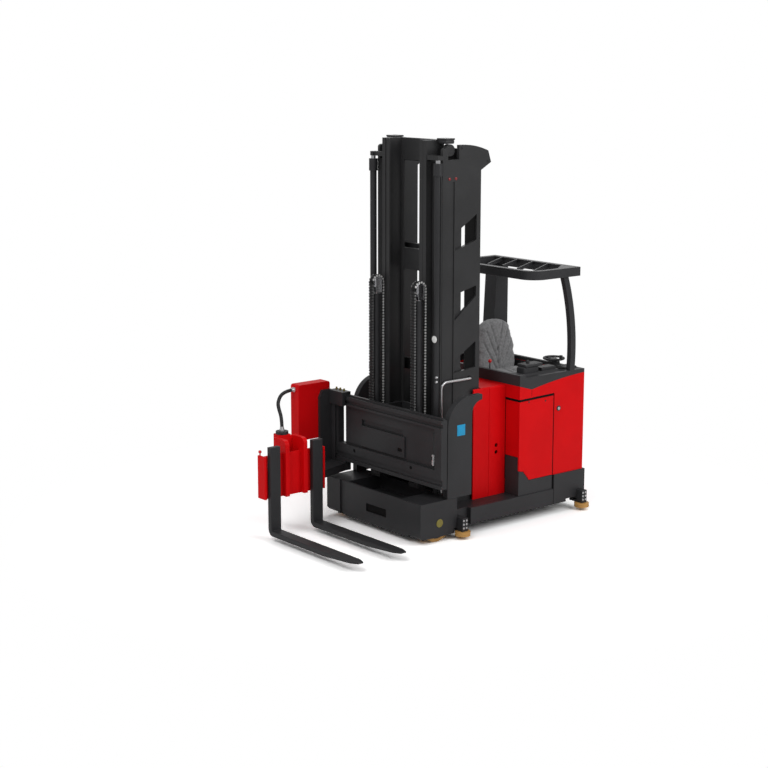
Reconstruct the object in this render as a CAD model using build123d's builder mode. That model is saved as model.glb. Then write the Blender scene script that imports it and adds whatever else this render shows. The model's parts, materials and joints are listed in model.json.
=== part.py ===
"""Man-down turret truck for very narrow aisles, in millimetres.

+Z is up, the forks' end of the truck faces -Y and the operator looks along +X.
The origin is on the floor under the middle of the truck's outer box.
"""

import os
from math import cos, radians, sin

from build123d import *

os.makedirs("parts", exist_ok=True)

# Clearances
running_gap = 0.3  # between pieces that slide or turn on each other
motion_gap = 10.0  # between pieces that pass each other
panel_gap = 4.0  # the dark line between two body panels
bore_play = 3.0  # round a piston rod inside its barrel

# Load wheels and the axle beam that carries them
load_wheel_radius = 170.0
load_wheel_width = 110.0
load_tyre_depth = 28.0
load_axle_y = -310.0
load_axle_radius = 30.0
axle_cap_radius = 36.0
axle_cap_depth = 4.0
wheel_room = 14.0
beam_wall = 22.0
beam_side_wall = 21.0
beam_front_y = -521.0
beam_back_y = -112.0
beam_bottom = 50.0
beam_top = 362.0
beam_shelf = 218.0
beam_groove_x = (-461.0, -381.0)
beam_groove_depth = 14.0
beam_slot_length = 277.0
beam_slot_height = 73.0
beam_slot_x = 50.0
beam_slot_z = 190.0
beam_corner_cut = 25.0
beam_slot_round = 10.0

# Steered drive wheel at the rear
drive_wheel_radius = 180.0
drive_wheel_width = 150.0
drive_tyre_depth = 35.0
drive_axle_y = 1150.0
drive_axle_radius = 35.0
drive_leg = 30.0
drive_crown = 30.0
drive_turntable_radius = 170.0
drive_neck_radius = 100.0
drive_motor_radius = 135.0
drive_motor_height = 230.0

# Guide rollers that follow the aisle rails
roller_radius = 67.5
roller_height = 40.0
roller_bottom = 28.0
roller_pin_radius = 16.0
roller_reach = 35.0  # of a roller's axis beyond the truck's side
roller_plate = 20.0
roller_block_top = 185.0
front_roller_y = -76.0
rear_roller_y = 1378.0

# Chassis
half_width = 650.0
sill_thickness = 45.0
sill_bottom = 95.0
step_height = 241.0
floor_plate = 15.0
deck_top = 460.0
deck_plate = 20.0
deck_front_y = 690.0
step_front_y = 47.0
step_back_y = 1052.0
rear_y = 1446.0
rear_plate = 12.0
rear_skirt_top = 370.0
tail_rise_y = 1210.0
tail_bottom = 120.0

# Body panels
fender_thickness = 58.0
fender_front_y = -223.0
fender_back_y = 52.0
fender_arc_radius = 259.0
fender_top = 1230.0
fender_tab = 116.0
fender_tab_height = 48.0
hood_half_width = 463.0
hood_front_y = 236.0
hood_headroom = 124.0
hood_wall = 12.0
hood_edge_radius = 18.0
hood_crease_y = 420.0
hood_hole_radius = 18.0
hood_hole_y = 512.0
hood_hole_z = (630.0, 692.0)
battery_half_width = 400.0
battery_length = 250.0
battery_height = 850.0
cab_front_y = 620.0
cab_back_y = 1421.0
cab_inset = 10.0
cab_wall = 35.0
cab_floor_z = 795.0
cab_floor_plate = 15.0
belt_rise = 5.0  # of the cab's front edge above the hood
notch_drop = 44.0  # the rest of the cab's top is placed from that edge
belt_back_rise = 34.0
notch_y = 766.0
cowl_rise = 95.0
cowl_rail_rise = 68.0
panel_thickness = 12.0
service_inner_x = 466.0
service_back_y = 1035.0
service_drop_front = 98.0  # of the cover's top below the notch
service_drop_back = 88.0
cover_gap = 12.0
cover_top_gap = 22.0
service_bottom = 374.0
kick_top = 590.0
kick_back_y = 675.0
kick_knee_z = 455.0
kick_side_top = 467.0
kick_notch_y = 745.0

# Seat and controls
seat_y = 1100.0
seat_width = 465.0
seat_front_x = 295.0
seat_back_x = -130.0
seat_back_depth = 110.0
seat_cushion_height = 110.0
seat_rise = 3.0  # of the cushion's top above the cab's front edge
seat_back_height = 565.0
seat_foot_share = 0.80  # half widths of the back at its foot, shoulder and top
seat_shoulder_share = 0.88
seat_top_share = 0.56
seat_wing_height = 0.33  # heights of its widest place, shoulder and dome, as shares of its own
seat_shoulder_height = 0.56
seat_dome_height = 0.86
seat_lean = 6.0
pedestal_half = 160.0
wheel_rim_radius = 90.0
wheel_rim_thickness = 11.0
wheel_hub_radius = 30.0
wheel_hub_height = 26.0
wheel_knob_radius = 15.0
wheel_knob_height = 38.0
wheel_x = 350.0
wheel_y = 1320.0
wheel_rise = 130.0
stand_half = 40.0
console_depth = 105.0
console_y = (745.0, 930.0)
console_height = 54.0
lever_radius = 9.0
lever_ball = 16.0
lever_length = 20.0
dash_depth = 190.0
dash_rise = 86.0
dash_slope = 40.0
armrest_y = (965.0, 1135.0)
armrest_height = 28.0

# Overhead guard
roof_bottom = 2150.0
roof_top = 2230.0
roof_left_x = -450.0
roof_overhang = 10.0
roof_y = (735.0, 1320.0)
roof_gusset_x = 230.0
roof_gusset_y = 310.0
roof_bar = 55.0
roof_corner = 150.0
roof_slat = 14.0
roof_slat_height = 34.0
post_width = 62.0
post_thickness = 48.0
post_knee_z = 1666.0
post_base_y = 1264.0
post_top_y = 1162.0
column_x = (-450.0, -300.0)
column_base_y = 1130.0
column_top_y = 1205.0
column_back_y = 1350.0

# Mast: three nested pairs of channel rails, from the outside in
mast_bottom = 60.0
head_crown = 3334.0
flange_drop = 144.0  # the head's other heights are placed below the crown
brow_drop = 26.0
head_notch_y = (-49.0, 73.0)
notch_depth = 120.0
head_depth = 306.0
mast_half_width = 430.0
mast_plate = 30.0
mast_recess = 20.0  # depth of the pressed openings in a side plate
opening_y = (36.0, 280.0)
opening_slot_y = (124.0, 170.0)
groove_y = (-8.0, 25.0)
groove_depth = 8.0
mast_front_y = -108.0
mast_back_y = 325.0
mast_rail_depth = 188.0
mast_flange = 18.0
mast_flange_inner_x = 300.0
nose_y = 438.0
nose_low_drop = 219.0
nose_tip_drop = 156.0
nose_round = 26.0
nose_shoulder_y = 405.0
nose_shoulder_drop = 57.0
crown_middle_y = 280.0
crown_middle_drop = 18.0
stage_top = 3375.0
stage_front_y = -171.0
stage_depth = 183.0
stage_flange = 16.0
middle_outer_x = 292.0
middle_inner_x = 249.0
inner_outer_x = 243.0
inner_inner_x = 198.0
stage_step = 4.0  # each stage is this much shallower than the one outside it
crossbar_depth = 14.0
roller_stub = 6.0  # gap between a mast roller's end and the web it runs beside
stage_roller_z = (90.0, 440.0)  # above the foot of the stage that carries the rollers
top_bar = 189.0
middle_bar = 186.0
middle_bar_drop = 951.0
low_bar = 90.0
hose_sheave_radius = 50.0
hose_sheave_y = 7.0
hose_sheave_drop = 85.0
hose_sheave_width = 50.0
sheave_cover = 14.0

# Lift cylinders, chains and pulleys
main_x = 428.0
main_y = -159.0
main_radius = 29.0
main_rod_radius = 20.0
main_gland_radius = 38.0
main_gland = 105.0
main_rod_show = 25.0
main_wall = 6.0
yoke_drop = 160.0  # of the rods' crosshead below the stage top
yoke_height = 38.0
free_x = 284.0
free_y = -242.0
free_radius = 33.0
free_wall = 8.0
free_rod_radius = 18.0
free_bottom = 440.0
free_top = 2030.0
free_gland = 40.0
free_foot = 40.0
pulley_z = 2131.0
pulley_pitch_radius = 58.0
pulley_width = 56.0
pulley_cheek = 8.0
chain_width = 50.0
chain_thickness = 14.0
chain_pitch = 50.8
chain_waist = 40.0
chain_plate_length = 31.0
chain_anchor_z = 690.0
chain_anchor_height = 50.0
pipe_radius = 11.0
pipe_x = 446.0
pipe_front_y = -122.0
pipe_hole_y = 209.0
pipe_hole_share = 0.3989  # of the mast's height
pipe_bend = 60.0

# Traverse frame on the lift carriage
frame_half_width = 745.0
frame_front_y = -380.0
frame_back_y = -315.0
frame_bottom = 489.0
frame_top = 1084.0
frame_top_rail = 84.0
frame_low_rail = 160.0
frame_groove = 16.0
frame_end = 85.0
frame_plate = 30.0
frame_gap = 65.0
guide_bar_width = 22.0
guide_bar_height = 16.0
cover_x = (-364.0, 238.0)
cover_z = (664.0, 852.0)
cover_thickness = 12.0
cover_pocket_height = 52.0
cover_pocket_depth = 18.0
cover_hole_length = 64.0
anchor_slot_inset = (145.0, 90.0)  # from the frame's end
anchor_slot_z = (664.0, 960.0)
frame_hole_radius = 16.0
frame_hole_x = (-430.0, 350.0)
carriage_plate = 22.0
carriage_back_y = -20.0
carriage_z = (510.0, 1060.0)

# Traverse carriage, its housing and the turret
pivot_inset = 256.0  # of the pivot from the frame's end when parked
pivot_y = -1126.0
pivot_pin_radius = 40.0
pivot_cap_radius = 55.0
pivot_cap_height = 26.0
slider_length = 195.0
slider_thickness = 40.0
post_plate = 30.0
post_overhang = 23.0
post_cut = 30.0
post_plate_front_y = -526.0
post_plate_top = 1125.0
arm_bottom = 405.0
arm_top = 474.0
arm_half_width = 58.0
arm_neck = 340.0
housing_width = 117.0
housing_y = (-742.0, -391.0)
housing_z = (689.0, 1195.0)
housing_edge = 22.0
hose_radius = 16.0
rotor_bottom = 480.0
rotor_top = 865.0
rotor_half = 58.0
rotor_edge = 12.0
fork_carriage_reach = 144.0
fork_carriage_plate = 24.0
fork_carriage_half = 320.0
fork_carriage_z = (365.0, 740.0)
ear_reach = (84.0, 189.0)  # of an end plate, from the pivot
ear_thickness = 20.0
ear_slot_width = 26.0
ear_slot_z = (608.0, 695.0)
rib_thickness = 40.0
rib_corner = 45.0
rib_drop = 10.0
rib_web = 24.0
rib_spacing = 95.0
fork_spacing = 448.0
fork_width = 105.0
fork_thickness = 45.0
fork_top = 90.0
fork_blade = 1161.0
fork_tip_cut = 26.0
fork_shank_top = 820.0
fork_heel_radius = 60.0
fork_tip_thickness = 14.0
fork_taper = 420.0

# Values that follow from the sizes above
load_wheel_x = half_width - beam_side_wall - wheel_room - load_wheel_width / 2
roller_x = half_width + roller_reach
cab_half_width = half_width - cab_inset
cab_inner_x = cab_half_width - cab_wall
sill_outer_x = cab_inner_x  # the cab's sides stand flush with the sills
sill_inner_x = sill_outer_x - sill_thickness
mast_rail_back_y = mast_front_y + mast_rail_depth
rail_middle_y = mast_front_y + mast_rail_depth / 2
mast_inner_x = mast_half_width - mast_plate
middle_front_y = stage_front_y
middle_back_y = stage_front_y + stage_depth
stage_middle_y = stage_front_y + stage_depth / 2
inner_front_y = middle_front_y + stage_step
inner_back_y = middle_back_y - stage_step
chain_front_y = free_y - pulley_pitch_radius
chain_back_y = free_y + pulley_pitch_radius
hood_top = step_height + battery_height + hood_headroom + hood_wall
cab_top_front = hood_top + belt_rise
cab_top_notch = cab_top_front - notch_drop
cab_top_back = cab_top_front + belt_back_rise
cowl_top = cab_top_front + cowl_rise
cowl_rail_top = cab_top_front + cowl_rail_rise
service_top_front = cab_top_notch - service_drop_front
service_top_back = cab_top_notch - service_drop_back
seat_cushion_top = cab_top_front + seat_rise
dash_top = cab_top_front + dash_rise
console_top = dash_top + console_height
lever_top = console_top + lever_length
wheel_z = cab_top_front + wheel_rise
mast_flange_top = head_crown - flange_drop
head_bottom = head_crown - head_depth
pipe_hole_z = pipe_hole_share * head_crown
anchor_slot_x = (frame_half_width - anchor_slot_inset[0], frame_half_width - anchor_slot_inset[1])
roof_x = (roof_left_x, half_width + roof_overhang)
post_x = (cab_half_width - post_thickness, cab_half_width)
yoke_bottom = stage_top - yoke_drop
main_gland_top = yoke_bottom - main_rod_show
main_gland_bottom = main_gland_top - main_gland
stage_bottom = beam_top + motion_gap
carriage_outer_x = inner_inner_x - motion_gap
travel_start_x = -frame_half_width + pivot_inset
slider_x = (-frame_half_width, -frame_half_width + slider_length)
post_plate_x = (-frame_half_width - post_overhang, -frame_half_width - post_overhang + post_plate)
housing_x = (post_plate_x[0] - housing_width, post_plate_x[0])
fork_carriage_x = (
    travel_start_x + fork_carriage_reach,
    travel_start_x + fork_carriage_reach + fork_carriage_plate,
)
ear_x = (travel_start_x + ear_reach[0], travel_start_x + ear_reach[1])


def block(x, y, z, mode=Mode.ADD):
    """Box between a pair of limits on each axis."""
    with Locations(((x[0] + x[1]) / 2, (y[0] + y[1]) / 2, (z[0] + z[1]) / 2)):
        Box(abs(x[1] - x[0]), abs(y[1] - y[0]), abs(z[1] - z[0]), mode=mode)


def upright(x, y, z, radius, mode=Mode.ADD):
    """Vertical cylinder between two heights."""
    with Locations((x, y, (z[0] + z[1]) / 2)):
        Cylinder(radius, abs(z[1] - z[0]), mode=mode)


def shaft(x, y, z, radius, mode=Mode.ADD):
    """Cylinder along X between two sides."""
    with Locations(((x[0] + x[1]) / 2, y, z)):
        Cylinder(radius, abs(x[1] - x[0]), rotation=(0, 90, 0), mode=mode)


def side_profile(points, x, mode=Mode.ADD):
    """Outline of (y, z) points made solid between two sides."""
    with BuildSketch(Plane.YZ.offset(min(x))) as outline:
        with BuildLine():
            Polyline(*points, close=True)
        make_face()
    extrude(outline.sketch, amount=abs(x[1] - x[0]), mode=mode)


def plan_profile(points, z, mode=Mode.ADD):
    """Outline of (x, y) points made solid between two heights."""
    with BuildSketch(Plane.XY.offset(min(z))) as outline:
        with BuildLine():
            Polyline(*points, close=True)
        make_face()
    extrude(outline.sketch, amount=abs(z[1] - z[0]), mode=mode)


def front_profile(points, y, mode=Mode.ADD):
    """Outline of (x, z) points made solid between a front and a back."""
    with BuildSketch(Plane.XZ.offset(-max(y))) as outline:
        with BuildLine():
            Polyline(*points, close=True)
        make_face()
    extrude(outline.sketch, amount=abs(y[1] - y[0]), mode=mode)


def save(builder, name):
    """Label a finished piece and write its file."""
    builder.part.label = name
    export_step(builder.part, f"parts/{name}.step")


# Front axle beam with a box over each load wheel
wheel_box_x = load_wheel_width / 2 + wheel_room
wheel_box_y = load_wheel_radius + wheel_room
with BuildPart() as front_axle_beam:
    block((-half_width, half_width), (beam_front_y, beam_back_y), (beam_bottom, beam_top))
    for side in (-1, 1):
        block(
            (side * load_wheel_x - wheel_box_x, side * load_wheel_x + wheel_box_x),
            (load_axle_y - wheel_box_y, load_axle_y + wheel_box_y),
            (0, 2 * load_wheel_radius + wheel_room / 2),
            Mode.SUBTRACT,
        )
        shaft(
            (side * (load_wheel_x - wheel_box_x - beam_wall), side * half_width),
            load_axle_y,
            load_wheel_radius,
            load_axle_radius,
            Mode.SUBTRACT,
        )
        side_profile(
            [
                (beam_front_y, beam_bottom),
                (beam_front_y + beam_corner_cut, beam_bottom),
                (beam_front_y, beam_bottom + beam_corner_cut),
            ],
            (side * (load_wheel_x - wheel_box_x), side * half_width),
            Mode.SUBTRACT,
        )
        upright(
            side * roller_x,
            front_roller_y,
            (0, sill_bottom),
            roller_radius + motion_gap,
            Mode.SUBTRACT,
        )
    cavity_half = load_wheel_x - wheel_box_x - beam_wall
    cavity_y = (beam_front_y + beam_wall, beam_back_y - beam_wall)
    block((-cavity_half, cavity_half), cavity_y, (0, beam_shelf), Mode.SUBTRACT)
    recess_half = main_x - main_gland_radius - beam_wall
    block((-recess_half, recess_half), cavity_y, (beam_shelf + beam_wall, beam_top), Mode.SUBTRACT)
    block(
        beam_groove_x,
        (beam_front_y, beam_front_y + beam_groove_depth),
        (beam_bottom, beam_top),
        Mode.SUBTRACT,
    )
    with BuildSketch(Plane.XZ.offset(-beam_front_y)) as beam_slot:
        with Locations((beam_slot_x, beam_slot_z)):
            RectangleRounded(beam_slot_length, beam_slot_height, beam_slot_round)
    extrude(amount=-beam_wall, mode=Mode.SUBTRACT)
save(front_axle_beam, "front_axle_beam")

# Fixed axles through the wheel boxes, each with its end cap
with BuildPart() as load_axles:
    for side in (-1, 1):
        shaft(
            (side * (load_wheel_x - wheel_box_x - beam_wall), side * half_width),
            load_axle_y,
            load_wheel_radius,
            load_axle_radius,
        )
        shaft(
            (side * half_width, side * (half_width + axle_cap_depth)),
            load_axle_y,
            load_wheel_radius,
            axle_cap_radius,
        )
save(load_axles, "load_axles")

# Load wheels: an iron hub inside a polyurethane tyre
load_hub_radius = load_wheel_radius - load_tyre_depth
for name, side in (("left", -1), ("right", 1)):
    inner_x = side * (load_wheel_x - load_wheel_width / 2)
    outer_x = side * (load_wheel_x + load_wheel_width / 2)
    with BuildPart() as load_hub:
        shaft((inner_x, outer_x), load_axle_y, load_wheel_radius, load_hub_radius)
        shaft(
            (inner_x, outer_x),
            load_axle_y,
            load_wheel_radius,
            load_axle_radius + running_gap,
            Mode.SUBTRACT,
        )
    save(load_hub, f"load_hub_{name}")
    with BuildPart() as load_tyre:
        shaft((inner_x, outer_x), load_axle_y, load_wheel_radius, load_wheel_radius)
        shaft((inner_x, outer_x), load_axle_y, load_wheel_radius, load_hub_radius, Mode.SUBTRACT)
    save(load_tyre, f"load_tyre_{name}")

# Drive unit: a turntable with two legs and the motor above the deck
leg_inner_x = drive_wheel_width / 2 + motion_gap
crown_bottom = 2 * drive_wheel_radius + motion_gap
deck_bottom = deck_top - deck_plate
with BuildPart() as drive_yoke:
    upright(0, drive_axle_y, (crown_bottom, crown_bottom + drive_crown), drive_turntable_radius)
    upright(0, drive_axle_y, (crown_bottom + drive_crown, deck_bottom - running_gap), drive_motor_radius)
    upright(0, drive_axle_y, (crown_bottom, deck_top + running_gap), drive_neck_radius)
    upright(
        0,
        drive_axle_y,
        (deck_top + running_gap, deck_top + drive_motor_height),
        drive_motor_radius,
    )
    for side in (-1, 1):
        side_profile(
            [
                (drive_axle_y - 2 * drive_axle_radius, drive_wheel_radius - 1.5 * drive_axle_radius),
                (drive_axle_y + 2 * drive_axle_radius, drive_wheel_radius - 1.5 * drive_axle_radius),
                (drive_axle_y + 3 * drive_axle_radius, crown_bottom + drive_crown),
                (drive_axle_y - 3 * drive_axle_radius, crown_bottom + drive_crown),
            ],
            (side * leg_inner_x, side * (leg_inner_x + drive_leg)),
        )
    shaft(
        (-leg_inner_x - drive_leg, leg_inner_x + drive_leg),
        drive_axle_y,
        drive_wheel_radius,
        drive_axle_radius,
    )
save(drive_yoke, "drive_yoke")

drive_hub_radius = drive_wheel_radius - drive_tyre_depth
with BuildPart() as drive_hub:
    drive_half = drive_wheel_width / 2
    shaft((-drive_half, drive_half), drive_axle_y, drive_wheel_radius, drive_hub_radius)
    shaft(
        (-drive_half, drive_half),
        drive_axle_y,
        drive_wheel_radius,
        drive_axle_radius + running_gap,
        Mode.SUBTRACT,
    )
save(drive_hub, "drive_hub")
with BuildPart() as drive_tyre:
    shaft((-drive_half, drive_half), drive_axle_y, drive_wheel_radius, drive_wheel_radius)
    shaft((-drive_half, drive_half), drive_axle_y, drive_wheel_radius, drive_hub_radius, Mode.SUBTRACT)
save(drive_tyre, "drive_tyre")

# Guide rollers, each under a bracket plate with a pin
roller_top = roller_bottom + roller_height
plate_bottom = roller_top + running_gap
# columns: name, side, y, height of the seat under the chassis, face that carries the bracket's block
roller_table = [
    ("front_left", -1, front_roller_y, sill_bottom, sill_outer_x),
    ("front_right", 1, front_roller_y, sill_bottom, sill_outer_x),
    ("rear_left", -1, rear_roller_y, tail_bottom, half_width),
    ("rear_right", 1, rear_roller_y, tail_bottom, half_width),
]
with BuildPart() as roller_brackets:
    for name, side, roller_y, seat_z, face_x in roller_table:
        bracket_y = (roller_y - 2 * roller_pin_radius, roller_y + 2 * roller_pin_radius)
        reach_x = side * (roller_x + 2 * roller_pin_radius)
        block((side * sill_inner_x, reach_x), bracket_y, (plate_bottom, plate_bottom + roller_plate))
        block((side * sill_inner_x, side * sill_outer_x), bracket_y, (plate_bottom, seat_z))
        block((side * face_x, reach_x), bracket_y, (plate_bottom, roller_block_top))
        upright(
            side * roller_x,
            roller_y,
            (roller_bottom, plate_bottom + roller_plate),
            roller_pin_radius,
        )
save(roller_brackets, "roller_brackets")
for name, side, roller_y, seat_z, face_x in roller_table:
    with BuildPart() as guide_roller:
        upright(side * roller_x, roller_y, (roller_bottom, roller_top), roller_radius)
        upright(
            side * roller_x,
            roller_y,
            (roller_bottom, roller_top),
            roller_pin_radius + running_gap,
            Mode.SUBTRACT,
        )
    save(guide_roller, f"guide_roller_{name}")

# Chassis: two sills, the low floor round the mast and the deck over the drive wheel
tail_y = rear_y - rear_plate
with BuildPart() as chassis_frame:
    for side in (-1, 1):
        side_profile(
            [
                (beam_back_y, sill_bottom),
                (tail_rise_y, sill_bottom),
                (tail_rise_y, tail_bottom),
                (tail_y, tail_bottom),
                (tail_y, deck_top),
                (deck_front_y, deck_top),
                (deck_front_y, step_height),
                (beam_back_y, step_height),
            ],
            (side * sill_inner_x, side * sill_outer_x),
        )
    block(
        (-sill_inner_x, sill_inner_x),
        (beam_back_y, deck_front_y + deck_plate),
        (step_height - floor_plate, step_height),
    )
    block(
        (-mast_half_width, mast_half_width),
        (beam_back_y, mast_back_y),
        (step_height - floor_plate, step_height),
        Mode.SUBTRACT,
    )
    block(
        (-sill_inner_x, sill_inner_x),
        (deck_front_y, deck_front_y + deck_plate),
        (step_height - floor_plate, deck_top),
    )
    block((-sill_inner_x, sill_inner_x), (deck_front_y, tail_y), (deck_bottom, deck_top))
    upright(0, drive_axle_y, (deck_bottom, deck_top), drive_neck_radius + running_gap, Mode.SUBTRACT)
save(chassis_frame, "chassis_frame")

# Side steps and the wrap-round tail skirt
with BuildPart() as side_steps:
    for side in (-1, 1):
        block(
            (side * sill_outer_x, side * half_width),
            (step_front_y, step_back_y - panel_gap),
            (sill_bottom, step_height),
        )
save(side_steps, "side_steps")
with BuildPart() as rear_skirt:
    for side in (-1, 1):
        side_profile(
            [
                (step_back_y, sill_bottom),
                (tail_rise_y, sill_bottom),
                (tail_rise_y, tail_bottom),
                (rear_y, tail_bottom),
                (rear_y, rear_skirt_top),
                (step_back_y, rear_skirt_top),
            ],
            (side * sill_outer_x, side * half_width),
        )
    block((-half_width, half_width), (tail_y, rear_y), (tail_bottom, rear_skirt_top))
save(rear_skirt, "rear_skirt")

# Fenders beside the mast: a flat panel with a round front shoulder and a thick rim
with BuildPart() as fenders:
    arc_y = fender_front_y + fender_arc_radius
    tab_y = fender_back_y + fender_tab
    sweep_z = fender_top - fender_tab_height - fender_tab
    for side in (-1, 1):
        outer_x = side * half_width
        inner_x = side * (half_width - fender_thickness)
        with BuildSketch(Plane.YZ.offset(min(outer_x, inner_x))) as fender_outline:
            with BuildLine():
                foot = Line((fender_back_y, beam_top), (fender_front_y, beam_top))
                front = Line(foot @ 1, (fender_front_y, fender_top - fender_arc_radius))
                shoulder = RadiusArc(front @ 1, (arc_y, fender_top), fender_arc_radius)
                crown = Line(shoulder @ 1, (tab_y, fender_top))
                tab_end = Line(crown @ 1, (tab_y, fender_top - fender_tab_height))
                sweep_mid = (tab_y - fender_tab * cos(radians(45)), sweep_z + fender_tab * sin(radians(45)))
                tab_sweep = ThreePointArc(tab_end @ 1, sweep_mid, (fender_back_y, sweep_z))
                Line(tab_sweep @ 1, foot @ 0)
            make_face()
        extrude(amount=fender_thickness)
save(fenders, "fenders")

# Battery hood behind the mast, open towards it, and the battery inside
hood_back_y = cab_front_y - panel_gap
with BuildPart() as battery_hood:
    block((-hood_half_width, hood_half_width), (hood_front_y, hood_back_y), (step_height, hood_top))
    top_edges = battery_hood.edges().filter_by(Axis.Y).group_by(Axis.Z)[-1]
    fillet(top_edges, hood_edge_radius)
    block(
        (-hood_half_width + hood_wall, hood_half_width - hood_wall),
        (hood_front_y, hood_back_y - hood_wall),
        (step_height, hood_top - hood_wall),
        Mode.SUBTRACT,
    )
    block(
        (-hood_half_width + hood_wall, hood_half_width - hood_wall),
        (hood_front_y, mast_back_y + motion_gap),
        (step_height, hood_top),
        Mode.SUBTRACT,
    )
    for side in (-1, 1):
        skin_x = (side * (hood_half_width - panel_gap), side * hood_half_width)
        block(skin_x, (hood_crease_y, hood_crease_y + panel_gap), (step_height, hood_top), Mode.SUBTRACT)
    for hole_z in hood_hole_z:
        shaft(
            (hood_half_width - hood_wall, hood_half_width),
            hood_hole_y,
            hole_z,
            hood_hole_radius,
            Mode.SUBTRACT,
        )
save(battery_hood, "battery_hood")
with BuildPart() as battery_block:
    battery_front_y = mast_back_y + motion_gap
    block(
        (-battery_half_width, battery_half_width),
        (battery_front_y, battery_front_y + battery_length),
        (step_height, step_height + battery_height),
    )
save(battery_block, "battery_block")

# Cab walls, each a whole panel thick
arc_mid_y = (notch_y + cab_back_y) / 2
arc_mid_z = (cab_top_notch + cab_top_back) / 2 + 12


def cab_side_sketch(x_low, base_z):
    """Outline of a cab side from a given base up to its notched top edge."""
    with BuildSketch(Plane.YZ.offset(x_low)) as outline:
        with BuildLine():
            base = Line((cab_back_y, base_z), (cab_front_y, base_z))
            front = Line(base @ 1, (cab_front_y, cab_top_front))
            dip = Line(front @ 1, (notch_y, cab_top_notch))
            sweep_up = ThreePointArc(dip @ 1, (arc_mid_y, arc_mid_z), (cab_back_y, cab_top_back))
            Line(sweep_up @ 1, base @ 0)
        make_face()
    return outline.sketch


for name, side in (("left", -1), ("right", 1)):
    low_x = min(side * cab_half_width, side * cab_inner_x)
    with BuildPart() as cab_side:
        extrude(cab_side_sketch(low_x, rear_skirt_top), amount=cab_wall)
        if name == "right":
            side_profile(
                [
                    (cab_front_y, rear_skirt_top),
                    (service_back_y + cover_gap, rear_skirt_top),
                    (service_back_y + cover_gap, service_top_back + cover_top_gap),
                    (cab_front_y, service_top_front + cover_top_gap),
                ],
                (cab_half_width - panel_thickness, cab_half_width),
                Mode.SUBTRACT,
            )
            block(
                (cab_inner_x, cab_half_width),
                (cab_front_y, cab_front_y + panel_thickness),
                (rear_skirt_top, service_top_front + cover_top_gap),
                Mode.SUBTRACT,
            )
    save(cab_side, f"cab_side_{name}")

with BuildPart() as cab_front_wall:
    block(
        (-cab_inner_x, cab_inner_x),
        (cab_front_y, cab_front_y + cab_wall),
        (step_height, cab_top_front),
    )
    block(
        (service_inner_x - cover_gap, cab_inner_x),
        (cab_front_y, cab_front_y + panel_thickness),
        (step_height, service_top_front + cover_top_gap),
        Mode.SUBTRACT,
    )
save(cab_front_wall, "cab_front_wall")
with BuildPart() as cab_rear_wall:
    block((-cab_inner_x, cab_inner_x), (cab_back_y - cab_wall, cab_back_y), (deck_top, cab_top_back))
save(cab_rear_wall, "cab_rear_wall")

# Screwed corner cover and the black kick plate below it
with BuildPart() as service_panel:
    block(
        (service_inner_x, cab_half_width),
        (cab_front_y, cab_front_y + panel_thickness),
        (kick_top + panel_gap, service_top_front),
    )
    side_profile(
        [
            (cab_front_y, kick_side_top + panel_gap),
            (kick_back_y + panel_gap, kick_knee_z + panel_gap),
            (kick_notch_y + panel_gap, service_bottom),
            (service_back_y, service_bottom),
            (service_back_y, service_top_back),
            (cab_front_y, service_top_front),
        ],
        (cab_half_width - panel_thickness, cab_half_width),
    )
save(service_panel, "service_panel")
with BuildPart() as kick_plate:
    block(
        (service_inner_x, cab_half_width),
        (cab_front_y, cab_front_y + panel_thickness),
        (step_height, kick_side_top),
    )
    block(
        (service_inner_x, cab_half_width - panel_thickness - panel_gap),
        (cab_front_y, cab_front_y + panel_thickness),
        (step_height, kick_top),
    )
    side_profile(
        [
            (cab_front_y, step_height),
            (service_back_y, step_height),
            (service_back_y, service_bottom - panel_gap),
            (kick_notch_y, service_bottom - panel_gap),
            (kick_back_y, kick_knee_z),
            (cab_front_y, kick_side_top),
        ],
        (cab_half_width - panel_thickness, cab_half_width),
    )
save(kick_plate, "kick_plate")

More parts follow.
